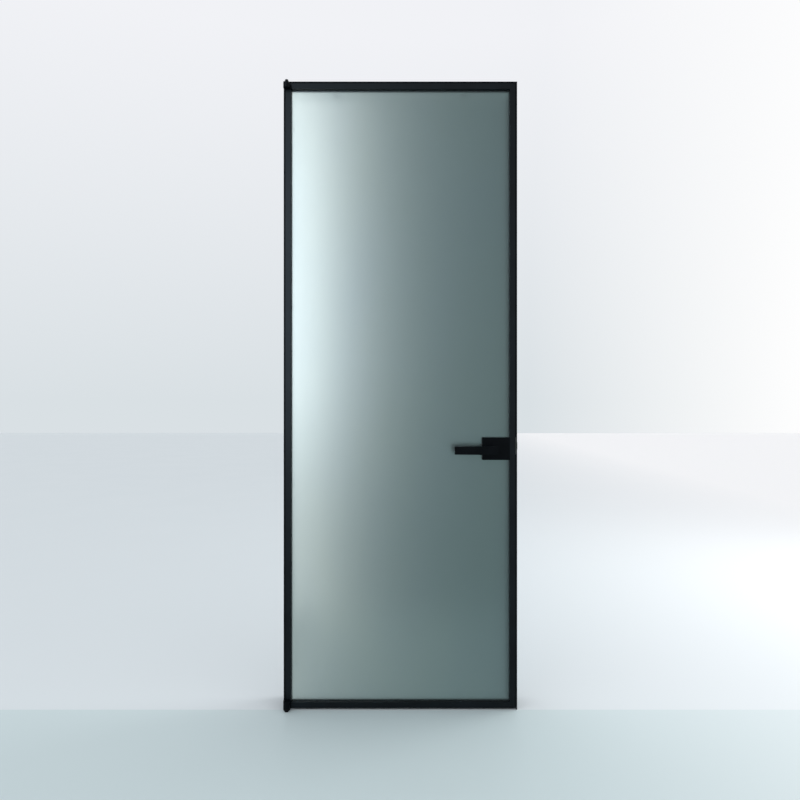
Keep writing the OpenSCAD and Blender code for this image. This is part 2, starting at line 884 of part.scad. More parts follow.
module cover_gasket() {
    difference() {
        across(glass_front - gasket_t, glass_front) difference() {
            lock_outline(0.4, 1.6);
            lock_outline(gasket_w, 1);
        }
        case_way();
    }
}

module front_cover_gasket() {
    color(rubber) cover_gasket();
}

module rear_cover_gasket() {
    color(rubber) on_rear() cover_gasket();
}

// ---- Lock case ----

// The screws' and the follower's ways through the lock case.
module case_bores() {
    for (x = cover_screw_xs, z = cover_screw_zs)
        bar_y(x, z, m4_r + slide, case_front - eps, case_back + eps);
    bar_y(spindle_x, spindle_z, hub_r + running, case_front - eps, case_back + eps);
}

module lock_case() {
    color(steel) difference() {
        block([case_x0, case_front, lock_z - case_h / 2],
              [case_x1, case_back - case_lid_t, lock_z + case_h / 2]);
        block([case_x0 + case_wall, case_front + case_wall, lock_z - case_h / 2 + case_wall],
              [case_x1 - case_wall, case_back, lock_z + case_h / 2 - case_wall]);
        block([case_x1 - case_wall - eps, bolt_front - slide, bolt_z - bolt_h / 2 - slide],
              [case_x1 + eps, case_back, bolt_z + bolt_h / 2 + slide]);
        case_bores();
    }
    color(steel)
        block([latch_spring_x0 - post_t, case_front, latch_spring_z - spring_r],
              [latch_spring_x0, case_back - case_lid_t, latch_spring_z + spring_r]);
}

module lock_case_lid() {
    color(steel) difference() {
        block([case_x0, case_back - case_lid_t, lock_z - case_h / 2],
              [case_x1, case_back, lock_z + case_h / 2]);
        case_bores();
    }
}

// The faceplate's block, grown all round by clear and outward by past.
module faceplate_blank(clear, past) {
    block([leaf_x - leaf_wall, leaf_t / 2 - faceplate_w / 2 - clear, lock_z - faceplate_h / 2 - clear],
          [leaf_x + past, leaf_t / 2 + faceplate_w / 2 + clear, lock_z + faceplate_h / 2 + clear]);
}

module at_faceplate_screws() {
    for (s = [-1, 1])
        facing_plus_x(leaf_x, leaf_t / 2, lock_z + s * faceplate_screw_dz) children();
}

module lock_faceplate() {
    color(black) difference() {
        faceplate_blank(0, 0);
        block([leaf_x - leaf_wall - eps, bolt_front - slide, bolt_z - bolt_h / 2 - slide],
              [leaf_x + eps, bolt_back + slide, bolt_z + bolt_h / 2 + slide]);
        at_faceplate_screws() csk_hole(m4_r, m4_head_r, faceplate_head_h, leaf_wall + eps);
    }
}

module faceplate_bridges() {
    color(steel) difference() {
        for (s = [-1, 1])
            translate([leaf_x - chamber_far + fit, leaf_t / 2 - bridge_w / 2,
                       lock_z + s * faceplate_screw_dz - bridge_h / 2])
                cube([web_chamber - 2 * fit, bridge_w, bridge_h]);
        at_faceplate_screws() csk_hole(m4_r, m4_head_r, faceplate_head_h, leaf_screw_hole_l);
    }
}

module faceplate_screws() {
    color(steel) at_faceplate_screws() csk_screw(m4_r, m4_head_r, faceplate_head_h, leaf_screw_l);
}

module follower() {
    color(steel) difference() {
        union() {
            bar_y(spindle_x, spindle_z, hub_r, case_front, case_back);
            block([spindle_x - arm_r, leaf_t / 2 - arm_t / 2, spindle_z],
                  [spindle_x + arm_r, leaf_t / 2 + arm_t / 2, spindle_z + arm_l]);
            bar_y(spindle_x, spindle_z + arm_l, arm_r,
                  leaf_t / 2 - arm_t / 2, leaf_t / 2 + arm_t / 2);
        }
        spindle_hole();
    }
}

// Square hole for the spindle, right through.
module spindle_hole() {
    half = spindle_side / 2 + fit / 2;
    block([spindle_x - half, -lever_out * 2, spindle_z - half],
          [spindle_x + half, leaf_t + lever_out * 2, spindle_z + half]);
}

module latch_bolt() {
    head_x = leaf_x - bolt_head_l;
    tip = leaf_x + bolt_out;
    tail_z = spindle_z + tail_bottom;
    color(steel) difference() {
        union() {
            translate([0, 0, bolt_z - bolt_h / 2]) linear_extrude(bolt_h)
                polygon([
                    [head_x, bolt_front], [tip, bolt_front], [tip, bolt_front + 2.4],
                    [leaf_x + 1, bolt_back], [head_x, bolt_back]
                ]);
            block([spindle_x - tail_left, bolt_front, tail_z],
                  [head_x + eps, bolt_back, tail_z + tail_h]);
        }
        block([spindle_x - tail_slot_left, bolt_front - eps, tail_z - eps],
              [spindle_x + tail_slot_right, bolt_back + eps, spindle_z + tail_slot_top]);
    }
}

// A plain tube that fills the room of a coil, along X.
module latch_spring() {
    x1 = leaf_x - bolt_head_l - 0.2;
    color(steel) translate([latch_spring_x0, leaf_t / 2, latch_spring_z]) rotate([0, 90, 0])
        difference() {
            cylinder(h = x1 - latch_spring_x0, r = spring_r);
            translate([0, 0, -eps])
                cylinder(h = x1 - latch_spring_x0 + 2 * eps, r = spring_r - spring_wire);
        }
}

// A plain ring that fills the room of a coil around the spindle.
module lever_return_spring() {
    color(steel) difference() {
        bar_y(spindle_x, spindle_z, bush_r + 1.9, bush_in + 0.4, case_front - 0.2);
        bar_y(spindle_x, spindle_z, bush_r + 0.3, 0, case_front + eps);
    }
}

// ---- Lever handle ----

module lever_bush() {
    difference() {
        union() {
            bar_y(spindle_x, spindle_z, bush_flange_r, -lock_proud - bush_flange_t, -lock_proud);
            bar_y(spindle_x, spindle_z, bush_r - seat, -lock_proud - 0.1, bush_in);
        }
        bar_y(spindle_x, spindle_z, neck_r + running, -lock_proud - bush_flange_t - eps, bush_in + eps);
    }
}

module front_lever_bush() {
    color(plastic) lever_bush();
}

module rear_lever_bush() {
    color(plastic) on_rear() lever_bush();
}

// A flat bar that tapers to its tip, on a round neck.
module lever() {
    root_x = spindle_x + lever_root;
    tip_x = root_x - lever_l;
    difference() {
        union() {
            across(lever_bar_y, lever_bar_y + lever_t)
                polygon([
                    [tip_x, spindle_z - lever_tip_h / 2], [root_x, spindle_z - lever_root_h / 2],
                    [root_x, spindle_z + lever_root_h / 2], [tip_x, spindle_z + lever_tip_h / 2]
                ]);
            bar_y(spindle_x, spindle_z, neck_r, lever_bar_y + lever_t - 0.1, neck_in);
        }
        intersection() {
            spindle_hole();
            block([spindle_x - neck_r, -lever_out + spindle_end, spindle_z - neck_r],
                  [spindle_x + neck_r, leaf_t, spindle_z + neck_r]);
        }
        at_grub_screw() cylinder(h = 3 * neck_r, r = m5_r + seat);
    }
}

// The grub screw's axis, pointing down from the spindle's underside.
module at_grub_screw() {
    translate([spindle_x, grub_y, spindle_z - spindle_side / 2]) rotate([180, 0, 0]) children();
}

module front_lever() {
    color(black) lever();
}

module rear_lever() {
    color(black) on_rear() lever();
}

module spindle() {
    half = spindle_side / 2;
    end = -lever_out + spindle_end + 0.5;
    color(steel) block([spindle_x - half, end, spindle_z - half],
                       [spindle_x + half, leaf_t - end, spindle_z + half]);
}

module lever_grub_screws() {
    color(steel) {
        at_grub_screw() cylinder(h = 4.5, r = m5_r);
        on_rear() at_grub_screw() cylinder(h = 4.5, r = m5_r);
    }
}

jamb_hinge_side();
jamb_latch_side();
jamb_head();
jamb_corner_cleats();
jamb_cleat_screws();
jamb_seal_hinge_side();
jamb_seal_latch_side();
jamb_seal_head();
jamb_fixing_caps();
strike_plate();
strike_box();
strike_screws();
upper_frame_bracket();
lower_frame_bracket();
frame_bracket_screws();
upper_pivot_pin();
lower_pivot_pin();
thrust_washer();
hinge_stile();
lock_stile();
top_rail();
bottom_rail();
leaf_corner_cleats();
leaf_corner_screws();
floor_seal();
glass_pane();
front_glazing_seal();
rear_glazing_seal();
glazing_blocks();
upper_leaf_knuckle();
lower_leaf_knuckle();
leaf_knuckle_screws();
upper_pivot_bush();
lower_pivot_bush();
lock_front_cover();
lock_rear_cover();
front_cover_gasket();
rear_cover_gasket();
lock_cover_screws();
lock_case();
lock_case_lid();
lock_faceplate();
faceplate_screws();
faceplate_bridges();
front_lever_bush();
rear_lever_bush();
lever_return_spring();
latch_spring();
front_lever();
rear_lever();
spindle();
follower();
lever_grub_screws();
latch_bolt();
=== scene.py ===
"""Looks of a framed satin-glass swing door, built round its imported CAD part.

Metres throughout. X runs from the hinge side to the latch side, Y into the wall, Z up.
"""

import json
import logging
import math
from dataclasses import dataclass
from enum import Enum

import bmesh
import bpy
from mathutils import Matrix, Vector

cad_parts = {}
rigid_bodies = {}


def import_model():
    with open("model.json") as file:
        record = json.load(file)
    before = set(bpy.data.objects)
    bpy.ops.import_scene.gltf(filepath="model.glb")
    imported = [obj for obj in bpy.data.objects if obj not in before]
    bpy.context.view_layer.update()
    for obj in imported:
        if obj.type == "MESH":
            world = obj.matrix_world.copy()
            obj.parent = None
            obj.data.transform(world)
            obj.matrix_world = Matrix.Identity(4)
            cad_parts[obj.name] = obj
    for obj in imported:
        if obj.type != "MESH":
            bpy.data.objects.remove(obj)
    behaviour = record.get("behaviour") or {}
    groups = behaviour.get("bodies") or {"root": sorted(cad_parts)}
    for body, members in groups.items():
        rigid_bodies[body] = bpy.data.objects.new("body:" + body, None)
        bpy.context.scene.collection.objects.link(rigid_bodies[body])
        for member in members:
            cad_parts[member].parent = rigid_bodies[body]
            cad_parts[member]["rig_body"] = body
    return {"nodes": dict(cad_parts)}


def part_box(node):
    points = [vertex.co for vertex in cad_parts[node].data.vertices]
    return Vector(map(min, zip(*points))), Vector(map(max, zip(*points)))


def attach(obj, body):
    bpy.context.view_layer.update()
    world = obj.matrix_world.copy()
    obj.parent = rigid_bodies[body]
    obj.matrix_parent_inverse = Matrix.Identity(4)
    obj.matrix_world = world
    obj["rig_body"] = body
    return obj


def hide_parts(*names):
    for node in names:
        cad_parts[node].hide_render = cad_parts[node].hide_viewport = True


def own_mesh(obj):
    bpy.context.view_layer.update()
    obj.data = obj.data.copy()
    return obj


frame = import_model()

NODES: dict[str, bpy.types.Object] = frame["nodes"]
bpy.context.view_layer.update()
MM = 0.001
MERGE = 1e-6
# Angles in degrees: faces within the first are one flat face, an edge past the second shades
# sharp, and an edge past the third is rounded.
FLAT = 0.4
CREASE = 30
CORNER = 40
# How far the rounded edge's normal leans from the real one where wear starts and is full, as
# the cosine, and the scuffs' strengths between which the wear breaks up.
WEAR_LEAN = (0.995, 0.86)
WEAR_PATCH = (0.42, 0.66)
# The least and the most of one noise, and of two added up, away from their rare extremes.
ONE_NOISE = (0.35, 0.65)
BOTH_NOISES = (0.7, 1.3)
log = logging.getLogger("glass_door")


# ---- Small tools ----


def linear(code: str) -> tuple[float, float, float, float]:
    """Turn an sRGB hex value into a linear colour.

    Args:
        code: The value, such as "#1a2b3c".

    Returns:
        Red, green, blue and alpha for a shader socket.
    """
    parts = [int(code[i:i + 2], 16) / 255 for i in (1, 3, 5)]
    red, green, blue = [p / 12.92 if p <= 0.04045 else ((p + 0.055) / 1.055) ** 2.4 for p in parts]
    return red, green, blue, 1.0


def add(tree: bpy.types.NodeTree, kind: str, inputs: dict | None = None, **settings) -> bpy.types.Node:
    """Add one node with its settings, its values and the links that feed it.

    Args:
        tree: The tree that gets the node.
        kind: The node's type.
        inputs: A value, or a socket to link from, for each input's name or place.
        **settings: Properties of the node.

    Returns:
        The new node.
    """
    made = tree.nodes.new(kind)
    for name, value in settings.items():
        setattr(made, name, value)
    for key, value in (inputs or {}).items():
        if isinstance(value, bpy.types.NodeSocket):
            tree.links.new(value, made.inputs[key])
        else:
            made.inputs[key].default_value = value
    return made


def maths(tree: bpy.types.NodeTree, operation: str, *values: object) -> bpy.types.NodeSocket:
    """Add one sum.

    Args:
        tree: The tree that gets it.
        operation: The node's operation.
        *values: A number, or a socket to link from, for each term.

    Returns:
        The sum's socket.
    """
    return add(tree, "ShaderNodeMath", dict(enumerate(values)), operation=operation).outputs[0]


def ranged(tree: bpy.types.NodeTree, value: bpy.types.NodeSocket, start: float, end: float,
           low: object = 0.0, high: object = 1.0) -> bpy.types.NodeSocket:
    """Map a value between two ends onto a range, clamped.

    Args:
        tree: The tree that gets the node.
        value: The value's socket.
        start: The value that gives low.
        end: The value that gives high.
        low: The range's start.
        high: Its end.

    Returns:
        The mapped value's socket.
    """
    return add(tree, "ShaderNodeMapRange", {0: value, 1: start, 2: end, 3: low, 4: high}).outputs[0]


def blended(tree: bpy.types.NodeTree, share: bpy.types.NodeSocket, first: object,
            second: object) -> bpy.types.NodeSocket:
    """Blend two colours.

    Args:
        tree: The tree that gets the node.
        share: The second colour's share.
        first: The first, as a hex value or a socket.
        second: The second, likewise.

    Returns:
        The blend's socket.
    """
    ends = [linear(c) if isinstance(c, str) else c for c in (first, second)]
    return add(tree, "ShaderNodeMix", {0: share, 6: ends[0], 7: ends[1]}, data_type="RGBA").outputs[2]


def new_object(name: str, mesh: bpy.types.Mesh) -> bpy.types.Object:
    """Put a mesh into the scene.

    Args:
        name: The object's name.
        mesh: Its mesh.

    Returns:
        The object.
    """
    made = bpy.data.objects.new(name, mesh)
    bpy.context.scene.collection.objects.link(made)
    return made


def frozen(source: bpy.types.Object) -> bpy.types.Mesh:
    """Turn what an object's modifiers make into a plain mesh.

    Args:
        source: The object, whose modifiers are removed.

    Returns:
        The mesh.
    """
    graph = bpy.context.evaluated_depsgraph_get()
    mesh = bpy.data.meshes.new_from_object(source.evaluated_get(graph))
    source.modifiers.clear()
    return mesh


def smoothed(mesh: bpy.types.Mesh, crease: float = 35) -> bpy.types.Mesh:
    """Shade a mesh smooth, with sharp edges past an angle.

    Args:
        mesh: The mesh, changed in place.
        crease: The angle in degrees.

    Returns:
        The same mesh.
    """
    mesh.shade_smooth()
    mesh.set_sharp_from_angle(angle=math.radians(crease))
    return mesh


def cleaned(mesh: bpy.types.Mesh, flat: float | None = None) -> bpy.types.Mesh:
    """Merge doubles and turn the faces outward.

    Args:
        mesh: The mesh, changed in place.
        flat: If given, faces that lie within this angle in degrees are made one.

    Returns:
        The same mesh.
    """
    work = bmesh.new()
    work.from_mesh(mesh)
    bmesh.ops.remove_doubles(work, verts=work.verts, dist=MERGE)
    if flat is not None:
        bmesh.ops.dissolve_limit(work, angle_limit=math.radians(flat), verts=work.verts, edges=work.edges)
    bmesh.ops.recalc_face_normals(work, faces=work.faces)
    work.to_mesh(mesh)
    work.free()
    return mesh


def joined(name: str, meshes: list[bpy.types.Mesh]) -> bpy.types.Object:
    """Join several meshes into one object.

    Args:
        name: The object's name.
        meshes: The meshes, which share one material.

    Returns:
        The object.
    """
    work = bmesh.new()
    for mesh in meshes:
        work.from_mesh(mesh)
    whole = bpy.data.meshes.new(name)
    work.to_mesh(whole)
    work.free()
    for material in meshes[0].materials:
        whole.materials.append(material)
    return new_object(name, smoothed(whole))


# ---- Finishes ----


class Slot(Enum):
    """The record's material slots."""

    BLACK = "black_finish"
    GLASS = "satin_glass"
    RUBBER = "black_rubber"
    PLASTIC = "black_plastic"
    ZINC = "zinc_steel"
    ALUMINIUM = "bare_aluminium"
    BRONZE = "bronze"


@dataclass(frozen=True)
class Finish:
    """A surface finish, which builds its material once."""

    name: str

    def material(self) -> bpy.types.Material:
        """Return the material, made on the first call."""
        made = bpy.data.materials.get(self.name)
        if made is None:
            made = bpy.data.materials.new(self.name)
            made.use_nodes = True
            made.node_tree.nodes.clear()
            shader = self.wire(made.node_tree)
            add(made.node_tree, "ShaderNodeOutputMaterial", {"Surface": shader.outputs[0]})
        return made

    def wire(self, tree: bpy.types.NodeTree) -> bpy.types.Node:
        """Build the nodes.

        Args:
            tree: The material's tree.

        Returns:
            The shader that ends them.
        """
        raise NotImplementedError


@dataclass(frozen=True)
class WornCoat(Finish):
    """An opaque finish with mottling, a fine grain and edges that handling has rubbed.

    Sizes are in millimetres: cloud is the width of the colour's drift, grain that of the
    texture and relief its depth, scuff the size of the scuffs that break up the wear, and rub
    the width of the worn edge.
    """

    base: str = "#0b1013"
    drift: str = "#10171b"
    worn: str = "#2c363b"
    metallic: float = 0.0
    roughness: float = 0.45
    spread: float = 0.06
    specular: float = 0.5
    cloud: float = 160.0
    grain: float = 1.4
    relief: float = 0.03
    scuff: float = 9.0
    rub: float = 0.6
    wear: float = 0.5

    def wire(self, tree: bpy.types.NodeTree) -> bpy.types.Node:
        """Build the nodes.

        Args:
            tree: The material's tree.

        Returns:
            The shader that ends them.
        """
        place = add(tree, "ShaderNodeTexCoord").outputs["Object"]
        cloud = add(tree, "ShaderNodeTexNoise", {
            "Vector": place, "Scale": 1 / (self.cloud * MM), "Detail": 4.0, "Roughness": 0.6,
        }).outputs["Fac"]
        grain = add(tree, "ShaderNodeTexNoise", {
            "Vector": place, "Scale": 1 / (self.grain * MM), "Detail": 2.0, "Roughness": 0.5,
        }).outputs["Fac"]
        scuff = add(tree, "ShaderNodeTexNoise", {
            "Vector": place, "Scale": 1 / (self.scuff * MM), "Detail": 5.0, "Roughness": 0.7,
        }).outputs["Fac"]
        drifted = blended(tree, ranged(tree, cloud, *ONE_NOISE), self.base, self.drift)
        eased = add(tree, "ShaderNodeBevel", {"Radius": self.rub * MM}, samples=4).outputs[0]
        real = add(tree, "ShaderNodeNewGeometry").outputs["Normal"]
        turn = add(tree, "ShaderNodeVectorMath", {0: eased, 1: real},
                   operation="DOT_PRODUCT").outputs["Value"]
        edge = ranged(tree, turn, *WEAR_LEAN)
        patchy = ranged(tree, scuff, *WEAR_PATCH, high=self.wear)
        colour = blended(tree, maths(tree, "MULTIPLY", edge, patchy), drifted, self.worn)
        rough = ranged(tree, maths(tree, "ADD", cloud, grain), *BOTH_NOISES,
                       self.roughness - self.spread, self.roughness + self.spread)
        bump = add(tree, "ShaderNodeBump", {
            "Height": grain, "Distance": self.relief * MM, "Strength": 0.6,
        }).outputs[0]
        return add(tree, "ShaderNodeBsdfPrincipled", {
            "Base Color": colour, "Metallic": self.metallic, "Roughness": rough,
            "Specular IOR Level": self.specular, "Normal": bump,
        })


@dataclass(frozen=True)
class SatinGlass(Finish):
    """Grey-green toughened glass, acid-etched to a satin face that blurs what is behind it.

    Sizes are in millimetres: wave is the length of the furnace's roller waves, frost the
    etched grain, which is really 0.05 mm and is drawn coarser so that it shows, and relief
    the grain's depth. Haze is the share of light that the etched face scatters every way.
    """

    tint: str = "#677c7a"
    deep: str = "#61767a"
    roughness: float = 0.38
    spread: float = 0.03
    ior: float = 1.52
    haze: float = 0.06
    wave: float = 260.0
    frost: float = 1.6
    relief: float = 0.01

    def wire(self, tree: bpy.types.NodeTree) -> bpy.types.Node:
        """Build the nodes.

        Args:
            tree: The material's tree.

        Returns:
            The shader that ends them.
        """
        place = add(tree, "ShaderNodeTexCoord").outputs["Object"]
        stretched = add(tree, "ShaderNodeMapping", {"Vector": place, "Scale": (1.0, 1.0, 0.35)}).outputs[0]
        wave = add(tree, "ShaderNodeTexNoise", {
            "Vector": stretched, "Scale": 1 / (self.wave * MM), "Detail": 2.0,
        }).outputs["Fac"]
        frost = add(tree, "ShaderNodeTexNoise", {
            "Vector": place, "Scale": 1 / (self.frost * MM), "Detail": 2.0,
        }).outputs["Fac"]
        colour = blended(tree, wave, self.tint, self.deep)
        rough = ranged(tree, maths(tree, "ADD", wave, frost), *BOTH_NOISES,
                       self.roughness - self.spread, self.roughness + self.spread)
        bump = add(tree, "ShaderNodeBump", {
            "Height": frost, "Distance": self.relief * MM, "Strength": 0.4,
        }).outputs[0]
        pane = add(tree, "ShaderNodeBsdfPrincipled", {
            "Base Color": colour, "Roughness": rough, "IOR": self.ior,
            "Transmission Weight": 1.0, "Normal": bump,
        }).outputs[0]
        haze = add(tree, "ShaderNodeBsdfTranslucent", {"Color": colour, "Normal": bump}).outputs[0]
        return add(tree, "ShaderNodeMixShader", {0: self.haze, 1: pane, 2: haze})


# Polyester powder coat on aluminium: matt blue-black with a faint orange peel.
POWDER_COAT = WornCoat("Powder coat, matt blue-black", specular=0.1, rub=0.3, wear=0.08)
# The same coat on handled castings, rubbed a little brighter on its edges.
HANDLED_COAT = WornCoat("Powder coat, handled", base="#04070a", drift="#070a0e", specular=0.05,
                        cloud=45.0, roughness=0.4, rub=0.5, wear=0.35)
SATIN_GLASS = SatinGlass("Satin-etched tinted glass")
# EPDM rubber: dull, dusty black, extruded.
EPDM = WornCoat("EPDM rubber, extruded", base="#0f1011", drift="#191a1b", worn="#2a2b2c", roughness=0.8,
                specular=0.3, cloud=30.0, grain=0.9, relief=0.05, wear=0.4)
# Glass-filled nylon: black, moulded, a fine spark-eroded texture.
NYLON = WornCoat("Nylon, moulded black", base="#0c0e10", drift="#121416", worn="#26292c", roughness=0.55,
                 specular=0.2, cloud=18.0, grain=0.7, relief=0.04)
# Zinc-plated steel: bright grey with a faint yellow and blue passivation.
ZINC = WornCoat("Zinc-plated steel", base="#9aa0a3", drift="#a8a594", worn="#c8ccce", metallic=1.0,
                roughness=0.34, spread=0.08, cloud=7.0, grain=0.5, relief=0.02, wear=0.6)
# Aluminium as extruded and sawn: soft grey.
MILL_ALUMINIUM = WornCoat("Aluminium, mill finish", base="#a9acae", drift="#b9bbbc", worn="#d6d8d9",
                          metallic=1.0, roughness=0.4, cloud=25.0, grain=0.8)
# Oil-soaked sintered bronze: brown and porous.
BRONZE = WornCoat("Sintered bronze", base="#7d5d33", drift="#8d6b3d", worn="#b98f58", metallic=1.0,
                  roughness=0.42, cloud=6.0, grain=0.4, relief=0.05)


@dataclass(frozen=True)
class StudioFloor(Finish):
    """A plain pale floor: cooler before the wall's face, paler behind it, and with painted light that
    whitens it toward the latch side.

    Sizes are in metres: cloud is that of the soft change in its sheen, edge half the width of
    the change at the wall's face, and fade where along X the painted light starts and ends.
    """

    before: str = "#cbdadc"
    behind: str = "#d9e1e4"
    # The colour of the painted light that whitens the floor toward the latch side.
    painted_light_tone: str = "#ffffff"
    roughness: float = 0.5
    spread: float = 0.04
    specular: float = 0.12
    cloud: float = 1 / 1.7
    cloud_ends: tuple[float, float] = (0.3, 0.7)
    edge: float = 0.002
    fade: tuple[float, float] = (0.5, 4.5)

    def wire(self, tree: bpy.types.NodeTree) -> bpy.types.Node:
        """Build the nodes.

        Args:
            tree: The material's tree.

        Returns:
            The shader that ends them.
        """
        place = add(tree, "ShaderNodeTexCoord").outputs["Object"]
        split = add(tree, "ShaderNodeSeparateXYZ", {0: place})
        past = ranged(tree, split.outputs["Y"], -self.edge, self.edge)
        # Painted light: the share of white painted into the floor's colour toward the latch side.
        painted_light_share = ranged(tree, split.outputs["X"], *self.fade)
        cloud = add(tree, "ShaderNodeTexNoise", {
            "Vector": place, "Scale": 1 / self.cloud, "Detail": 3.0,
        }).outputs["Fac"]
        pale = blended(tree, painted_light_share, blended(tree, past, self.before, self.behind), self.painted_light_tone)
        rough = ranged(tree, cloud, *self.cloud_ends,
                       self.roughness - self.spread, self.roughness + self.spread)
        return add(tree, "ShaderNodeBsdfPrincipled", {
            "Base Color": pale, "Roughness": rough, "Specular IOR Level": self.specular,
        })


@dataclass(frozen=True)
class GlowCard(Finish):
    """A backdrop that glows warmly at its hinge side and fades toward the latch side.

    Its low is the strength everywhere and high what the glow adds, near is the glow's place
    along X and fade the length in which it falls to about a third, and foot is the share of
    the glow that is left at the floor, below the heights between which it rises.
    """

    tone: str = "#ecfbfc"
    warm: str = "#ffdedb"
    low: float = 0.66
    high: float = 8.4
    near: float = -0.6
    fade: float = 0.25
    foot: float = 0.6
    rise: tuple[float, float] = (0.2, 1.5)

    def wire(self, tree: bpy.types.NodeTree) -> bpy.types.Node:
        """Build the nodes.

        Args:
            tree: The material's tree.

        Returns:
            The shader that ends them.
        """
        place = add(tree, "ShaderNodeTexCoord").outputs["Object"]
        split = add(tree, "ShaderNodeSeparateXYZ", {0: place})
        away = maths(tree, "ABSOLUTE", maths(tree, "SUBTRACT", split.outputs["X"], self.near))
        share = maths(tree, "EXPONENT", maths(tree, "MULTIPLY", away, -1 / self.fade))
        rise = add(tree, "ShaderNodeMapRange", {
            0: split.outputs["Z"], 1: self.rise[0], 2: self.rise[1], 3: self.foot, 4: 1.0,
        }, interpolation_type="SMOOTHSTEP").outputs[0]
        power = maths(tree, "MULTIPLY", maths(tree, "MULTIPLY", share, rise), self.high)
        plain = add(tree, "ShaderNodeEmission", {"Color": linear(self.tone), "Strength": self.low})
        lit = add(tree, "ShaderNodeEmission", {"Color": linear(self.warm), "Strength": power})
        return add(tree, "ShaderNodeAddShader", {0: plain.outputs[0], 1: lit.outputs[0]})


# ---- Pieces from the CAD part ----


def settle(piece: bpy.types.Object, slot: Slot, *nodes: str) -> None:
    """Let a finished piece stand for CAD nodes, on their body.

    Args:
        piece: The finished piece.
        slot: Not used.
        *nodes: The CAD nodes that it replaces, all on one body.
    """
    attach(piece, NODES[nodes[0]]["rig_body"])
    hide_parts(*nodes)
    log.info("%s: %d faces, for %s", piece.name, len(piece.data.polygons), ", ".join(nodes))


def dress(node: str, finish: Finish) -> None:
    """Give a CAD node that stays a finish in each of its slots.

    Args:
        node: The CAD node.
        finish: Its finish.
    """
    for slot in NODES[node].material_slots:
        slot.material = finish.material()
    log.info("%s: CAD shape, %s", node, finish.name)


def eased(node: str, slot: Slot, finish: Finish, width: float, segments: int = 2) -> None:
    """Rebuild a CAD node with its sharp edges rounded as a maker leaves them.

    Args:
        node: The CAD node.
        slot: Its material slot.
        finish: Its finish.
        width: The rounding's width in millimetres.
        segments: Faces across the rounding.
    """
    mesh = bpy.data.meshes.new(node + "_eased")
    work = bmesh.new()
    work.from_mesh(NODES[node].data)
    work.to_mesh(mesh)
    work.free()
    if "custom_normal" in mesh.attributes:
        mesh.attributes.remove(mesh.attributes["custom_normal"])
    cleaned(mesh, flat=FLAT)
    mesh.materials.clear()
    mesh.materials.append(finish.material())
    rough = new_object(node + "_blank", smoothed(mesh, CREASE))
    ease = rough.modifiers.new("ease", "BEVEL")
    ease.width = width * MM
    ease.segments = segments
    ease.limit_method = "ANGLE"
    ease.angle_limit = math.radians(CORNER)
    ease.use_clamp_overlap = True
    level = rough.modifiers.new("level", "WEIGHTED_NORMAL")
    level.mode = "FACE_AREA"
    level.weight = 100
    level.keep_sharp = False
    piece = new_object(node + "_eased", frozen(rough))
    bpy.data.objects.remove(rough)
    settle(piece, slot, node)


# ---- Geometry Nodes ----


class Growth:
    """A Geometry Nodes tree with named inputs, run on a mesh and frozen."""

    def __init__(self, name: str, inputs: dict[str, str]) -> None:
        """Start the tree.

        Args:
            name: The tree's name.
            inputs: The type of each input's socket, by the input's name.
        """
        self.tree = bpy.data.node_groups.new(name, "GeometryNodeTree")
        face = self.tree.interface
        face.new_socket("Geometry", in_out="INPUT", socket_type="NodeSocketGeometry")
        self.keys = {
            label: face.new_socket(label, in_out="INPUT", socket_type="NodeSocket" + kind).identifier
            for label, kind in inputs.items()
        }
        face.new_socket("Geometry", in_out="OUTPUT", socket_type="NodeSocketGeometry")
        self.source = add(self.tree, "NodeGroupInput")
        self.build()

    def build(self) -> None:
        """Add the nodes between the tree's input and its output."""
        raise NotImplementedError

    def out(self, label: str) -> bpy.types.NodeSocket:
        """Return the socket that an input's value comes from."""
        return self.source.outputs[label]

    def end(self, grown: bpy.types.NodeSocket) -> None:
        """Realize what has grown, give it its material and end the tree.

        Args:
            grown: The socket that gives what has grown.
        """
        real = add(self.tree, "GeometryNodeRealizeInstances", {"Geometry": grown}).outputs[0]
        dressed = add(self.tree, "GeometryNodeSetMaterial", {
            "Geometry": real, "Material": self.out("Material"),
        }).outputs[0]
        add(self.tree, "NodeGroupOutput", {0: dressed})

    def run(self, seed_mesh: bpy.types.Mesh, values: dict[str, object]) -> bpy.types.Mesh:
        """Grow the tree on a mesh.

        Args:
            seed_mesh: The mesh that the tree starts from.
            values: The value of each named input.

        Returns:
            A plain mesh, cleaned.
        """
        host = new_object("growth_host", seed_mesh)
        modifier = host.modifiers.new("growth", "NODES")
        modifier.node_group = self.tree
        for label, value in values.items():
            modifier[self.keys[label]] = value
        mesh = frozen(host)
        bpy.data.objects.remove(host)
        return cleaned(mesh)


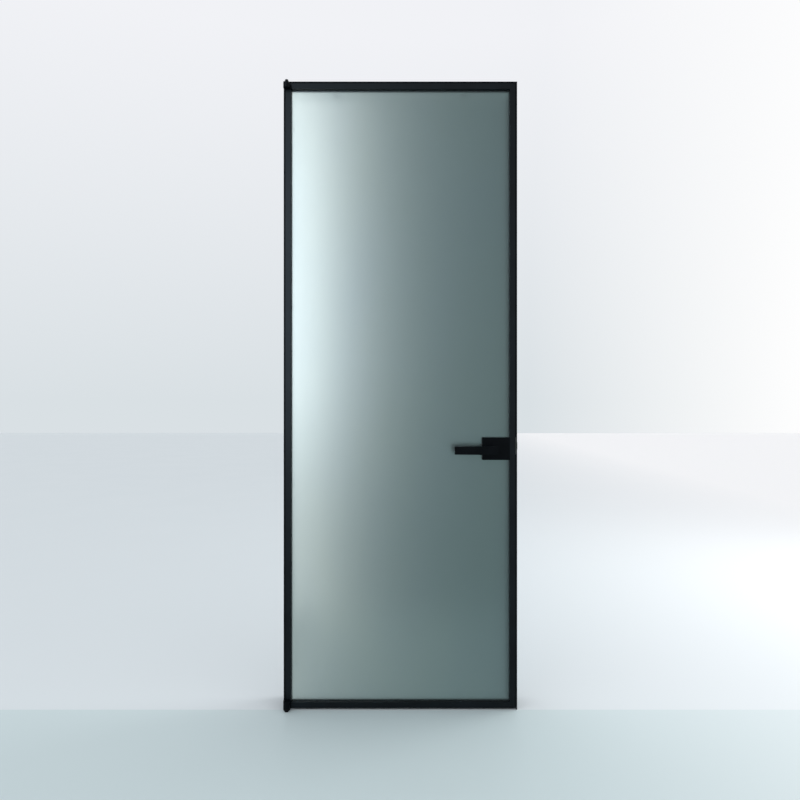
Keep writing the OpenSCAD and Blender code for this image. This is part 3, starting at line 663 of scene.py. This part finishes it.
class ScrewGrowth(Growth):
    """A countersunk screw with a hexagon socket, put on every point along its lean."""

    def __init__(self) -> None:
        """Build the tree."""
        super().__init__("Countersunk screws", {
            "Head radius": "Float", "Head height": "Float", "Shank radius": "Float", "Length": "Float",
            "Socket radius": "Float", "Socket depth": "Float", "Seed": "Int", "Material": "Material",
        })

    def build(self) -> None:
        """Add the nodes between the tree's input and its output."""
        tree = self.tree
        head_h = self.out("Head height")
        down = maths(tree, "MULTIPLY", head_h, -1.0)
        cone = add(tree, "GeometryNodeMeshCone", {
            "Vertices": 48, "Radius Top": self.out("Head radius"), "Radius Bottom": self.out("Shank radius"),
            "Depth": head_h,
        }).outputs["Mesh"]
        head = add(tree, "GeometryNodeTransform", {
            "Geometry": cone, "Translation": add(tree, "ShaderNodeCombineXYZ", {"Z": down}).outputs[0],
        }).outputs[0]
        deep = maths(tree, "MULTIPLY", self.out("Socket depth"), 2.0)
        hexagon = add(tree, "GeometryNodeMeshCylinder", {
            "Vertices": 6, "Radius": self.out("Socket radius"), "Depth": deep,
        }).outputs["Mesh"]
        socketed = add(tree, "GeometryNodeMeshBoolean", {"Mesh 1": head, "Mesh 2": hexagon},
                       operation="DIFFERENCE").outputs["Mesh"]
        rest = maths(tree, "SUBTRACT", self.out("Length"), head_h)
        middle = maths(tree, "MULTIPLY_ADD", rest, -0.5, down)
        stem = add(tree, "GeometryNodeMeshCylinder", {
            "Vertices": 32, "Radius": self.out("Shank radius"), "Depth": rest,
        }).outputs["Mesh"]
        shank = add(tree, "GeometryNodeTransform", {
            "Geometry": stem, "Translation": add(tree, "ShaderNodeCombineXYZ", {"Z": middle}).outputs[0],
        }).outputs[0]
        screw = add(tree, "GeometryNodeJoinGeometry").inputs[0]
        tree.links.new(socketed, screw)
        tree.links.new(shank, screw)
        lean = add(tree, "GeometryNodeInputNamedAttribute", {"Name": "lean"},
                   data_type="FLOAT_VECTOR").outputs[0]
        stand = add(tree, "FunctionNodeAlignRotationToVector", {"Vector": lean}, axis="Z").outputs[0]
        spin = add(tree, "FunctionNodeRandomValue", {2: 0.0, 3: math.tau, "Seed": self.out("Seed")},
                   data_type="FLOAT").outputs[1]
        turn = add(tree, "FunctionNodeAxisAngleToRotation", {
            "Axis": (0.0, 0.0, 1.0), "Angle": spin,
        }).outputs[0]
        facing = add(tree, "FunctionNodeRotateRotation", {"Rotation": stand, "Rotate By": turn},
                     rotation_space="LOCAL").outputs[0]
        placed = add(tree, "GeometryNodeInstanceOnPoints", {
            "Points": self.out("Geometry"), "Instance": screw.node.outputs[0], "Rotation": facing,
        }).outputs[0]
        self.end(placed)


class CoilGrowth(Growth):
    """A coil of round wire that rises along Z from the origin."""

    def __init__(self) -> None:
        """Build the tree."""
        super().__init__("Wire coil", {
            "Radius": "Float", "Wire radius": "Float", "Turns": "Float", "Height": "Float",
            "Material": "Material",
        })

    def build(self) -> None:
        """Add the nodes between the tree's input and its output."""
        path = add(self.tree, "GeometryNodeCurveSpiral", {
            "Resolution": 32, "Rotations": self.out("Turns"), "Start Radius": self.out("Radius"),
            "End Radius": self.out("Radius"), "Height": self.out("Height"),
        }).outputs[0]
        wire = add(self.tree, "GeometryNodeCurvePrimitiveCircle", {
            "Resolution": 10, "Radius": self.out("Wire radius"),
        }).outputs["Curve"]
        coil = add(self.tree, "GeometryNodeCurveToMesh", {
            "Curve": path, "Profile Curve": wire, "Fill Caps": True,
        }).outputs[0]
        self.end(coil)


class SealGrowth(Growth):
    """An extruded strip: an outline run along Z, with each end square or mitred."""

    def __init__(self) -> None:
        """Build the tree."""
        super().__init__("Mitred strip", {
            "Length": "Float", "Start mitre": "Float", "End mitre": "Float", "Material": "Material",
        })

    def build(self) -> None:
        """Add the nodes between the tree's input and its output."""
        tree = self.tree
        length = self.out("Length")
        rise = add(tree, "ShaderNodeCombineXYZ", {"Z": length}).outputs[0]
        outline = self.out("Geometry")
        walls = add(tree, "GeometryNodeExtrudeMesh", {
            "Mesh": outline, "Offset": rise, "Offset Scale": 1.0, "Individual": False,
        }, mode="FACES")
        sides = add(tree, "GeometryNodeJoinGeometry").inputs[0]
        tree.links.new(walls.outputs["Mesh"], sides)
        tree.links.new(outline, sides)
        spot = add(tree, "ShaderNodeSeparateXYZ", {0: add(tree, "GeometryNodeInputPosition").outputs[0]})
        along = maths(tree, "DIVIDE", spot.outputs["Z"], length)
        far = maths(tree, "MULTIPLY", self.out("End mitre"), -1.0)
        slope = ranged(tree, along, 0.0, 1.0, self.out("Start mitre"), far)
        shift = maths(tree, "MULTIPLY", slope, spot.outputs["X"])
        cut = add(tree, "GeometryNodeSetPosition", {
            "Geometry": sides.node.outputs[0],
            "Offset": add(tree, "ShaderNodeCombineXYZ", {"Z": shift}).outputs[0],
        }).outputs[0]
        self.end(cut)


def solids_of(node: str) -> list[tuple[Vector, Vector]]:
    """Find the box of each separate solid of a CAD node.

    Args:
        node: The CAD node.

    Returns:
        Each solid's lowest and highest corners, in order of place.
    """
    work = bmesh.new()
    work.from_mesh(NODES[node].data)
    bmesh.ops.remove_doubles(work, verts=work.verts, dist=MERGE)
    left = set(work.verts)
    boxes = []
    while left:
        patch, reach = [], [left.pop()]
        while reach:
            vertex = reach.pop()
            patch.append(vertex.co.copy())
            for edge in vertex.link_edges:
                other = edge.other_vert(vertex)
                if other in left:
                    left.remove(other)
                    reach.append(other)
        boxes.append((Vector(map(min, zip(*patch))), Vector(map(max, zip(*patch)))))
    work.free()
    return sorted(boxes, key=lambda box: tuple(round(c, 5) for c in box[0]))


@dataclass(frozen=True)
class ScrewKind:
    """One kind of countersunk screw, in millimetres."""

    head: float
    head_h: float
    shank: float
    socket: float
    depth: float


M4 = ScrewKind(head=3.8, head_h=2.0, shank=2.0, socket=1.45, depth=1.5)
M4_THIN = ScrewKind(head=3.8, head_h=1.8, shank=2.0, socket=1.45, depth=1.3)
M4_STRIKE = ScrewKind(head=3.8, head_h=1.2, shank=2.0, socket=1.45, depth=0.9)
M5 = ScrewKind(head=4.4, head_h=2.0, shank=2.5, socket=1.75, depth=1.6)


class Screws:
    """Puts a socketed screw in place of every screw of a CAD node."""

    def __init__(self) -> None:
        """Build the shared tree."""
        self.growth = ScrewGrowth()

    def fit(self, node: str, kind: ScrewKind, lean: Vector | None, seed: int) -> None:
        """Replace the screws of one node.

        Args:
            node: The CAD node.
            kind: Its screws' sizes.
            lean: Where the heads look, or None for the side of the node that each lies on.
            seed: Turns the sockets at random.
        """
        boxes = solids_of(node)
        low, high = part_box(node)
        points, leans, length = [], [], 0.0
        for box in boxes:
            way = lean or self.outward(box, low, high)
            centre, half = (box[0] + box[1]) / 2, (box[1] - box[0]) / 2
            reach = abs(way.dot(half))
            points.append(centre + way * reach)
            leans.append(way)
            length = 2 * reach
        mesh = bpy.data.meshes.new(node + "_points")
        mesh.from_pydata([tuple(p) for p in points], [], [])
        values = mesh.attributes.new("lean", "FLOAT_VECTOR", "POINT")
        for item, way in zip(values.data, leans):
            item.vector = way
        grown = self.growth.run(mesh, {
            "Head radius": kind.head * MM, "Head height": kind.head_h * MM, "Shank radius": kind.shank * MM,
            "Length": length, "Socket radius": kind.socket * MM, "Socket depth": kind.depth * MM,
            "Seed": seed, "Material": ZINC.material(),
        })
        settle(new_object(node + "_socketed", smoothed(grown)), Slot.ZINC, node)

    @staticmethod
    def outward(box: tuple[Vector, Vector], low: Vector, high: Vector) -> Vector:
        """Tell which outer side of a ring of screws one screw's head lies on.

        Args:
            box: The screw's box.
            low: The ring's lowest corner.
            high: The ring's highest corner.

        Returns:
            The direction that the head looks.
        """
        gaps = {
            (-1, 0, 0): box[0].x - low.x, (1, 0, 0): high.x - box[1].x,
            (0, 0, -1): box[0].z - low.z, (0, 0, 1): high.z - box[1].z,
        }
        return Vector(min(gaps, key=gaps.get))


class Seals:
    """Runs rubber strips along the uprights and rails."""

    def __init__(self) -> None:
        """Build the shared tree."""
        self.growth = SealGrowth()

    def strip(self, outline: list[tuple[float, float]], length: float, mitres: tuple[float, float],
              place: Matrix) -> bpy.types.Mesh:
        """Run one strip.

        Args:
            outline: The section's points, inward and back from the frame's outer front edge.
            length: The strip's length along its outer edge.
            mitres: 1 for a mitred end, 0 for a square one, at the start and the end.
            place: Puts the strip, drawn up Z with inward along X, where it belongs.

        Returns:
            The strip's mesh in place.
        """
        face = bpy.data.meshes.new("strip_section")
        face.from_pydata([(u, y, 0.0) for u, y in outline], [], [tuple(range(len(outline)))])
        mesh = self.growth.run(face, {
            "Length": length, "Start mitre": mitres[0], "End mitre": mitres[1], "Material": EPDM.material(),
        })
        mesh.transform(place)
        return cleaned(mesh)


def upright_place(x: float, z: float, inward: int) -> Matrix:
    """Stand a strip up at x from height z, with inward 1 or -1 as the way it faces along X."""
    return Matrix(((inward, 0, 0, x), (0, 1, 0, 0), (0, 0, 1, z), (0, 0, 0, 1)))


def rail_place(x: float, z: float, inward: int) -> Matrix:
    """Lay a strip along X from x at height z, with inward 1 or -1 as the way it faces along Z."""
    return Matrix(((0, 0, 1, x), (0, 1, 0, 0), (inward, 0, 0, z), (0, 0, 0, 1)))


def arc(centre: tuple[float, float], radius: float, start: float, end: float,
        steps: int) -> list[tuple[float, float]]:
    """List points on an arc, from and to angles in degrees."""
    angles = [math.radians(start + (end - start) * i / steps) for i in range(steps + 1)]
    return [(centre[0] + radius * math.cos(a), centre[1] + radius * math.sin(a)) for a in angles]


# ---- Sub-assemblies ----


@dataclass
class Jamb:
    """The three-sided aluminium jamb with its seals, cleats, caps and strike."""

    edge: float = 0.25
    cleat_edge: float = 0.3
    strike_edge: float = 0.2
    seal_in: float = 13.0
    tube: float = 1.5
    strip_w: float = 6.0
    strip_t: float = 0.8
    foot_w: float = 2.8
    foot_t: float = 2.1
    barb_w: float = 5.0
    barb_t: float = 1.4

    def members(self) -> None:
        """Round the extrusions' sawn and drilled edges a little."""
        for node in ("jamb_hinge_side", "jamb_latch_side", "jamb_head"):
            eased(node, Slot.BLACK, POWDER_COAT, self.edge, 1)

    def seal_outline(self, back: float) -> list[tuple[float, float]]:
        """Trace a bulb seal: a round bulb, a strip and a barbed foot.

        Args:
            back: Depth of the rebate that the strip lies on, in metres.

        Returns:
            The outline's points in metres.
        """
        u = self.seal_in
        bulb = arc((u, back / MM - self.tube), self.tube, 150, 390, 20)
        base = back / MM
        slot = base + self.foot_t
        right = [(u + self.strip_w / 2, base - self.strip_t), (u + self.strip_w / 2, base),
                 (u + self.foot_w / 2, base), (u + self.foot_w / 2, slot), (u + self.barb_w / 2, slot),
                 (u + self.foot_w / 2, slot + self.barb_t)]
        left = [(2 * u - a, b) for a, b in reversed(right)]
        return [(a * MM, b * MM) for a, b in bulb + right + left]

    def seals(self, runner: Seals) -> None:
        """Run the bulb seals round the stop.

        Args:
            runner: What runs rubber strips.
        """
        low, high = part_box("jamb_hinge_side")
        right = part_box("jamb_latch_side")[1].x
        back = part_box("jamb_seal_hinge_side")[1].y - (self.foot_t + self.barb_t) * MM
        outline = self.seal_outline(back)
        top = high.z
        runs = {
            "jamb_seal_hinge_side": (top, (0, 1), upright_place(low.x, 0, 1)),
            "jamb_seal_latch_side": (top, (0, 1), upright_place(right, 0, -1)),
            "jamb_seal_head": (right - low.x, (1, 1), rail_place(low.x, top, -1)),
        }
        for node, (length, mitres, place) in runs.items():
            piece = joined(node + "_bulb", [runner.strip(outline, length, mitres, place)])
            settle(piece, Slot.RUBBER, node)

    def hidden(self) -> None:
        """Dress what lies inside the jamb or behind its rebate."""
        eased("jamb_corner_cleats", Slot.ALUMINIUM, MILL_ALUMINIUM, self.cleat_edge, 1)
        eased("jamb_fixing_caps", Slot.PLASTIC, NYLON, self.cleat_edge, 2)
        eased("strike_plate", Slot.ZINC, ZINC, self.strike_edge, 2)
        eased("strike_box", Slot.PLASTIC, NYLON, self.strike_edge, 1)

    def build(self, screws: Screws, runner: Seals) -> None:
        """Build the whole jamb.

        Args:
            screws: What fits screws.
            runner: What runs rubber strips.
        """
        self.members()
        self.seals(runner)
        self.hidden()
        screws.fit("jamb_cleat_screws", M5, None, 3)
        screws.fit("strike_screws", M4_STRIKE, Vector((-1, 0, 0)), 5)


@dataclass
class Pivots:
    """The two corner pivots: fixed brackets, leaf knuckles, pins, bushes and a washer."""

    casting: float = 0.5
    turned: float = 0.3
    pin: float = 0.8

    def build(self, screws: Screws) -> None:
        """Build both pivots.

        Args:
            screws: What fits screws.
        """
        for half in ("frame_bracket", "leaf_knuckle"):
            for end in ("upper_", "lower_"):
                eased(end + half, Slot.BLACK, HANDLED_COAT, self.casting, 3)
        eased("upper_pivot_pin", Slot.BLACK, HANDLED_COAT, self.pin, 3)
        eased("lower_pivot_pin", Slot.ZINC, ZINC, self.pin, 2)
        for node in ("upper_pivot_bush", "lower_pivot_bush", "thrust_washer"):
            eased(node, Slot.BRONZE, BRONZE, self.turned, 2)
        screws.fit("frame_bracket_screws", M4, Vector((1, 0, 0)), 7)
        screws.fit("leaf_knuckle_screws", M5, Vector((-1, 0, 0)), 11)


@dataclass
class Leaf:
    """The mitred leaf with its glass, glazing rings and setting blocks."""

    edge: float = 0.25
    cleat_edge: float = 0.3
    pane_edge: float = 0.8
    ring_out: float = 10.5
    ring_in: float = 21.6
    lip: float = 0.9
    notch_low: float = 0.9625
    notch_high: float = 1.0315

    def members(self) -> None:
        """Round the edges of the stiles and rails a little and dress their corners."""
        for node in ("hinge_stile", "lock_stile", "top_rail", "bottom_rail"):
            eased(node, Slot.BLACK, POWDER_COAT, self.edge, 1)
        eased("leaf_corner_cleats", Slot.ALUMINIUM, MILL_ALUMINIUM, self.cleat_edge, 1)
        eased("glazing_blocks", Slot.PLASTIC, NYLON, self.cleat_edge, 1)

    def ring_outline(self, front: float, back: float, glass_side: int) -> list[tuple[float, float]]:
        """Trace a glazing wedge whose exposed lip is rounded toward the room.

        Args:
            front: Where the wedge starts in depth, in metres.
            back: Where it ends.
            glass_side: 1 if the glass lies behind it, -1 if before it.

        Returns:
            The outline's points in metres.
        """
        out, inner, lip = self.ring_out * MM, self.ring_in * MM, self.lip * MM
        if glass_side > 0:
            nose = arc((inner - lip, front + lip), lip, -90, 0, 6)
            return [(out, front)] + nose + [(inner, back), (out, back)]
        nose = arc((inner - lip, back - lip), lip, 0, 90, 6)
        return [(out, front), (inner, front)] + nose + [(out, back)]

    def rings(self, runner: Seals) -> None:
        """Run both glazing rings, which stop at the lock box, and dress the floor seal.

        Args:
            runner: What runs rubber strips.
        """
        low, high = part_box("hinge_stile")
        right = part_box("lock_stile")[1].x
        wide, tall = right - low.x, high.z - low.z
        for node, glass_side in (("front_glazing_seal", 1), ("rear_glazing_seal", -1)):
            near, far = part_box(node)
            outline = self.ring_outline(near.y, far.y, glass_side)
            over = upright_place(right, self.notch_high, -1)
            sides = [
                runner.strip(outline, tall, (1, 1), upright_place(low.x, low.z, 1)),
                runner.strip(outline, wide, (1, 1), rail_place(low.x, low.z, 1)),
                runner.strip(outline, wide, (1, 1), rail_place(low.x, high.z, -1)),
                runner.strip(outline, self.notch_low - low.z, (1, 0), upright_place(right, low.z, -1)),
                runner.strip(outline, high.z - self.notch_high, (0, 1), over),
            ]
            settle(joined(node + "_wedge", sides), Slot.RUBBER, node)
        dress("floor_seal", EPDM)

    def build(self, screws: Screws, runner: Seals) -> None:
        """Build the whole leaf.

        Args:
            screws: What fits screws.
            runner: What runs rubber strips.
        """
        self.members()
        eased("glass_pane", Slot.GLASS, SATIN_GLASS, self.pane_edge, 1)
        self.rings(runner)
        screws.fit("leaf_corner_screws", M5, None, 13)


@dataclass
class LockBox:
    """The lock box: covers, gaskets, case, faceplate, follower, springs and latch."""

    cover_edge: float = 0.7
    case_edge: float = 0.2
    bolt_edge: float = 0.5
    faceplate_edge: float = 0.3
    latch_wire: float = 0.4
    latch_turns: float = 15.0
    return_wire: float = 0.5
    return_turns: float = 4.5
    travel: float = 0.0121

    def covers(self) -> None:
        """Round the covers and dress their gaskets."""
        for node in ("lock_front_cover", "lock_rear_cover"):
            eased(node, Slot.BLACK, HANDLED_COAT, self.cover_edge, 3)
        for node in ("front_cover_gasket", "rear_cover_gasket"):
            dress(node, EPDM)

    def case(self) -> None:
        """Dress the case, its lid, the faceplate and what they hold."""
        for node in ("lock_case", "lock_case_lid", "faceplate_bridges", "follower"):
            eased(node, Slot.ZINC, ZINC, self.case_edge, 1)
        eased("latch_bolt", Slot.ZINC, ZINC, self.bolt_edge, 3)
        eased("lock_faceplate", Slot.BLACK, POWDER_COAT, self.faceplate_edge, 2)

    def springs(self) -> None:
        """Wind the latch spring and the lever's return spring."""
        coil = CoilGrowth()
        empty = bpy.data.meshes.new("coil_seed")
        low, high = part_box("latch_spring")
        middle = (low + high) / 2
        wire = self.latch_wire * MM
        mesh = coil.run(empty, {
            "Radius": (high.z - low.z) / 2 - wire, "Wire radius": wire, "Turns": self.latch_turns,
            "Height": high.x - low.x - 2 * wire, "Material": ZINC.material(),
        })
        lay = Matrix.Rotation(math.pi / 2, 4, "Y")
        mesh.transform(Matrix.Translation((low.x + wire, middle.y, middle.z)) @ lay)
        piece = new_object("latch_spring_coil", smoothed(mesh))
        settle(piece, Slot.ZINC, "latch_spring")
        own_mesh(piece)
        low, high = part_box("lever_return_spring")
        middle = (low + high) / 2
        wire = self.return_wire * MM
        mesh = coil.run(empty.copy(), {
            "Radius": (high.z - low.z) / 2 - wire, "Wire radius": wire, "Turns": self.return_turns,
            "Height": high.y - low.y - 2 * wire, "Material": ZINC.material(),
        })
        lay = Matrix.Rotation(math.pi / 2, 4, "X")
        mesh.transform(Matrix.Translation((middle.x, high.y - wire, middle.z)) @ lay)
        settle(new_object("lever_return_spring_coil", smoothed(mesh)), Slot.ZINC, "lever_return_spring")

    def build(self, screws: Screws) -> None:
        """Build the whole lock box.

        Args:
            screws: What fits screws.
        """
        self.covers()
        self.case()
        self.springs()
        screws.fit("lock_cover_screws", M4, Vector((0, 1, 0)), 17)
        screws.fit("faceplate_screws", M4_THIN, Vector((1, 0, 0)), 19)


@dataclass
class LeverSet:
    """The flat levers on their spindle, with their bushes and grub screws."""

    bar_edge: float = 0.9
    bush_edge: float = 0.4
    spindle_edge: float = 0.6
    grub_edge: float = 0.5

    def build(self) -> None:
        """Build both levers."""
        for node in ("front_lever", "rear_lever"):
            eased(node, Slot.BLACK, HANDLED_COAT, self.bar_edge, 4)
        for node in ("front_lever_bush", "rear_lever_bush"):
            eased(node, Slot.PLASTIC, NYLON, self.bush_edge, 3)
        eased("spindle", Slot.ZINC, ZINC, self.spindle_edge, 1)
        eased("lever_grub_screws", Slot.ZINC, ZINC, self.grub_edge, 1)


# ---- Studio ----


@dataclass(frozen=True)
class Softbox:
    """An area light: where it hangs, what it faces, its width and height, and its watts.

    With sheen_only it shows in glossy faces and lights nothing else.
    """

    name: str
    spot: tuple[float, float, float]
    aim: tuple[float, float, float]
    size: tuple[float, float]
    power: float
    tone: str = "#ffffff"
    sheen_only: bool = False


HIGHLIGHT_PANEL = Softbox("highlight_panel", spot=(-1.3, -2.5, 2.2), aim=(-1.3, 0.0, 2.2), size=(0.8, 2.6),
                          power=125.0, tone="#cfe6fa", sheen_only=True)
SIDE_SOFTBOX = Softbox("side_softbox", spot=(3.4, 1.2, 2.6), aim=(0.8, 0.6, 0.4), size=(1.8, 1.8),
                       power=40.0)


@dataclass
class Studio:
    """A plain pale floor, a pale surround, soft lights and the camera."""

    eye: tuple[float, float, float] = (-0.0015, -2.4, 1.1832)
    lens: float = 28.27
    sky_low: str = "#d9e0e4"
    sky_high: str = "#f1f2f6"
    sky_latchward: str = "#ffffff"
    sky_rise: tuple[float, float] = (0.0, 0.5)
    sky_across: tuple[float, float] = (0.2, 0.55)
    floor_size: float = 40.0
    card_y: float = 1.12
    card_high: float = 4.6
    card_side: float = 2.0
    card_lift: float = 0.001
    card_start: float = 0.08
    reveal_in: float = 0.0185
    reveal_from: float = 0.037
    reveal_past: float = 0.01

    def surround(self) -> None:
        """Light the scene evenly from a pale world, paler overhead and at the latch side."""
        world = bpy.data.worlds.new("Pale surround")
        bpy.context.scene.world = world
        world.use_nodes = True
        tree = world.node_tree
        tree.nodes.clear()
        way = add(tree, "ShaderNodeTexCoord").outputs["Generated"]
        split = add(tree, "ShaderNodeSeparateXYZ", {0: way})
        plain = blended(tree, ranged(tree, split.outputs["Z"], *self.sky_rise), self.sky_low, self.sky_high)
        tone = blended(tree, ranged(tree, split.outputs["X"], *self.sky_across), plain, self.sky_latchward)
        sky = add(tree, "ShaderNodeBackground", {"Color": tone, "Strength": 1.0})
        add(tree, "ShaderNodeOutputWorld", {"Surface": sky.outputs[0]})

    def floor(self) -> None:
        """Lay the floor."""
        half = self.floor_size / 2
        mesh = bpy.data.meshes.new("floor")
        corners = [(-half, -half, 0), (half, -half, 0), (half, half, 0), (-half, half, 0)]
        mesh.from_pydata(corners, [], [(0, 1, 2, 3)])
        mesh.materials.append(StudioFloor("Plain floor").material())
        new_object("floor", mesh)

    def card(self, name: str, corners: list[tuple[float, float, float]], finish: Finish) -> None:
        """Set a glowing backdrop behind the glass, for the glass alone to pick up.

        Args:
            name: Its name.
            corners: Its four corners in order.
            finish: Its glow.
        """
        mesh = bpy.data.meshes.new(name)
        mesh.from_pydata(corners, [], [(0, 1, 2, 3)])
        mesh.materials.append(finish.material())
        card = new_object(name, mesh)
        card.visible_camera = False
        card.visible_diffuse = False
        card.visible_glossy = False
        card.visible_shadow = False

    def cards(self) -> None:
        """Set one backdrop upright, one on the floor before it and two along the jamb's reveal."""
        y, high, side, lift = self.card_y, self.card_high, self.card_side, self.card_lift
        self.card("glow_card", [(-side, y, lift), (side, y, lift), (side, y, high), (-side, y, high)],
                  GlowCard("Glowing backdrop"))
        start = self.card_start
        self.card("floor_glow_card",
                  [(-side, start, lift), (side, start, lift), (side, y, lift), (-side, y, lift)],
                  GlowCard("Glow on the floor behind", low=0.78, high=3.5, near=-0.45, fade=0.36, foot=0.6))
        low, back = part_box("jamb_hinge_side")
        near, far = self.reveal_from, back.y + self.reveal_past
        left, top, right = low.x + self.reveal_in, back.z - self.reveal_in, -low.x - self.reveal_in
        glow = GlowCard("Glow along the reveal", high=5.2, near=-0.42, fade=0.25, foot=0.38)
        self.card("head_glow_card",
                  [(left, near, top), (right, near, top), (right, far, top), (left, far, top)], glow)
        self.card("side_glow_card",
                  [(left, near, lift), (left, far, lift), (left, far, top), (left, near, top)], glow)

    def lamp(self, box: Softbox) -> None:
        """Hang one softbox.

        Args:
            box: Its place, size and power.
        """
        light = bpy.data.lights.new(box.name, "AREA")
        light.shape = "RECTANGLE"
        light.size, light.size_y = box.size
        light.energy = box.power
        light.color = linear(box.tone)[:3]
        made = bpy.data.objects.new(box.name, light)
        made.location = box.spot
        made.rotation_mode = "QUATERNION"
        made.rotation_quaternion = (Vector(box.aim) - Vector(box.spot)).to_track_quat("-Z", "Y")
        made.visible_camera = False
        if box.sheen_only:
            made.visible_diffuse = False
            made.visible_transmission = False
        bpy.context.scene.collection.objects.link(made)

    def camera(self) -> None:
        """Stand the camera level before the leaf."""
        lens = bpy.data.cameras.new("camera")
        lens.sensor_width = 36.0
        lens.lens = self.lens
        made = bpy.data.objects.new("camera", lens)
        made.location = self.eye
        made.rotation_euler = (math.pi / 2, 0.0, 0.0)
        bpy.context.scene.collection.objects.link(made)
        bpy.context.scene.camera = made

    def build(self) -> None:
        """Set the whole scene."""
        bpy.context.scene.view_settings.view_transform = "Standard"
        self.surround()
        self.floor()
        self.cards()
        self.lamp(HIGHLIGHT_PANEL)
        self.lamp(SIDE_SOFTBOX)
        self.camera()


def main() -> None:
    """Build every sub-assembly."""
    logging.basicConfig(level=logging.INFO, format="%(name)s: %(message)s")
    screws = Screws()
    runner = Seals()
    Jamb().build(screws, runner)
    Pivots().build(screws)
    Leaf().build(screws, runner)
    LockBox().build(screws)
    LeverSet().build()
    Studio().build()


if __name__ == "__main__":
    main()
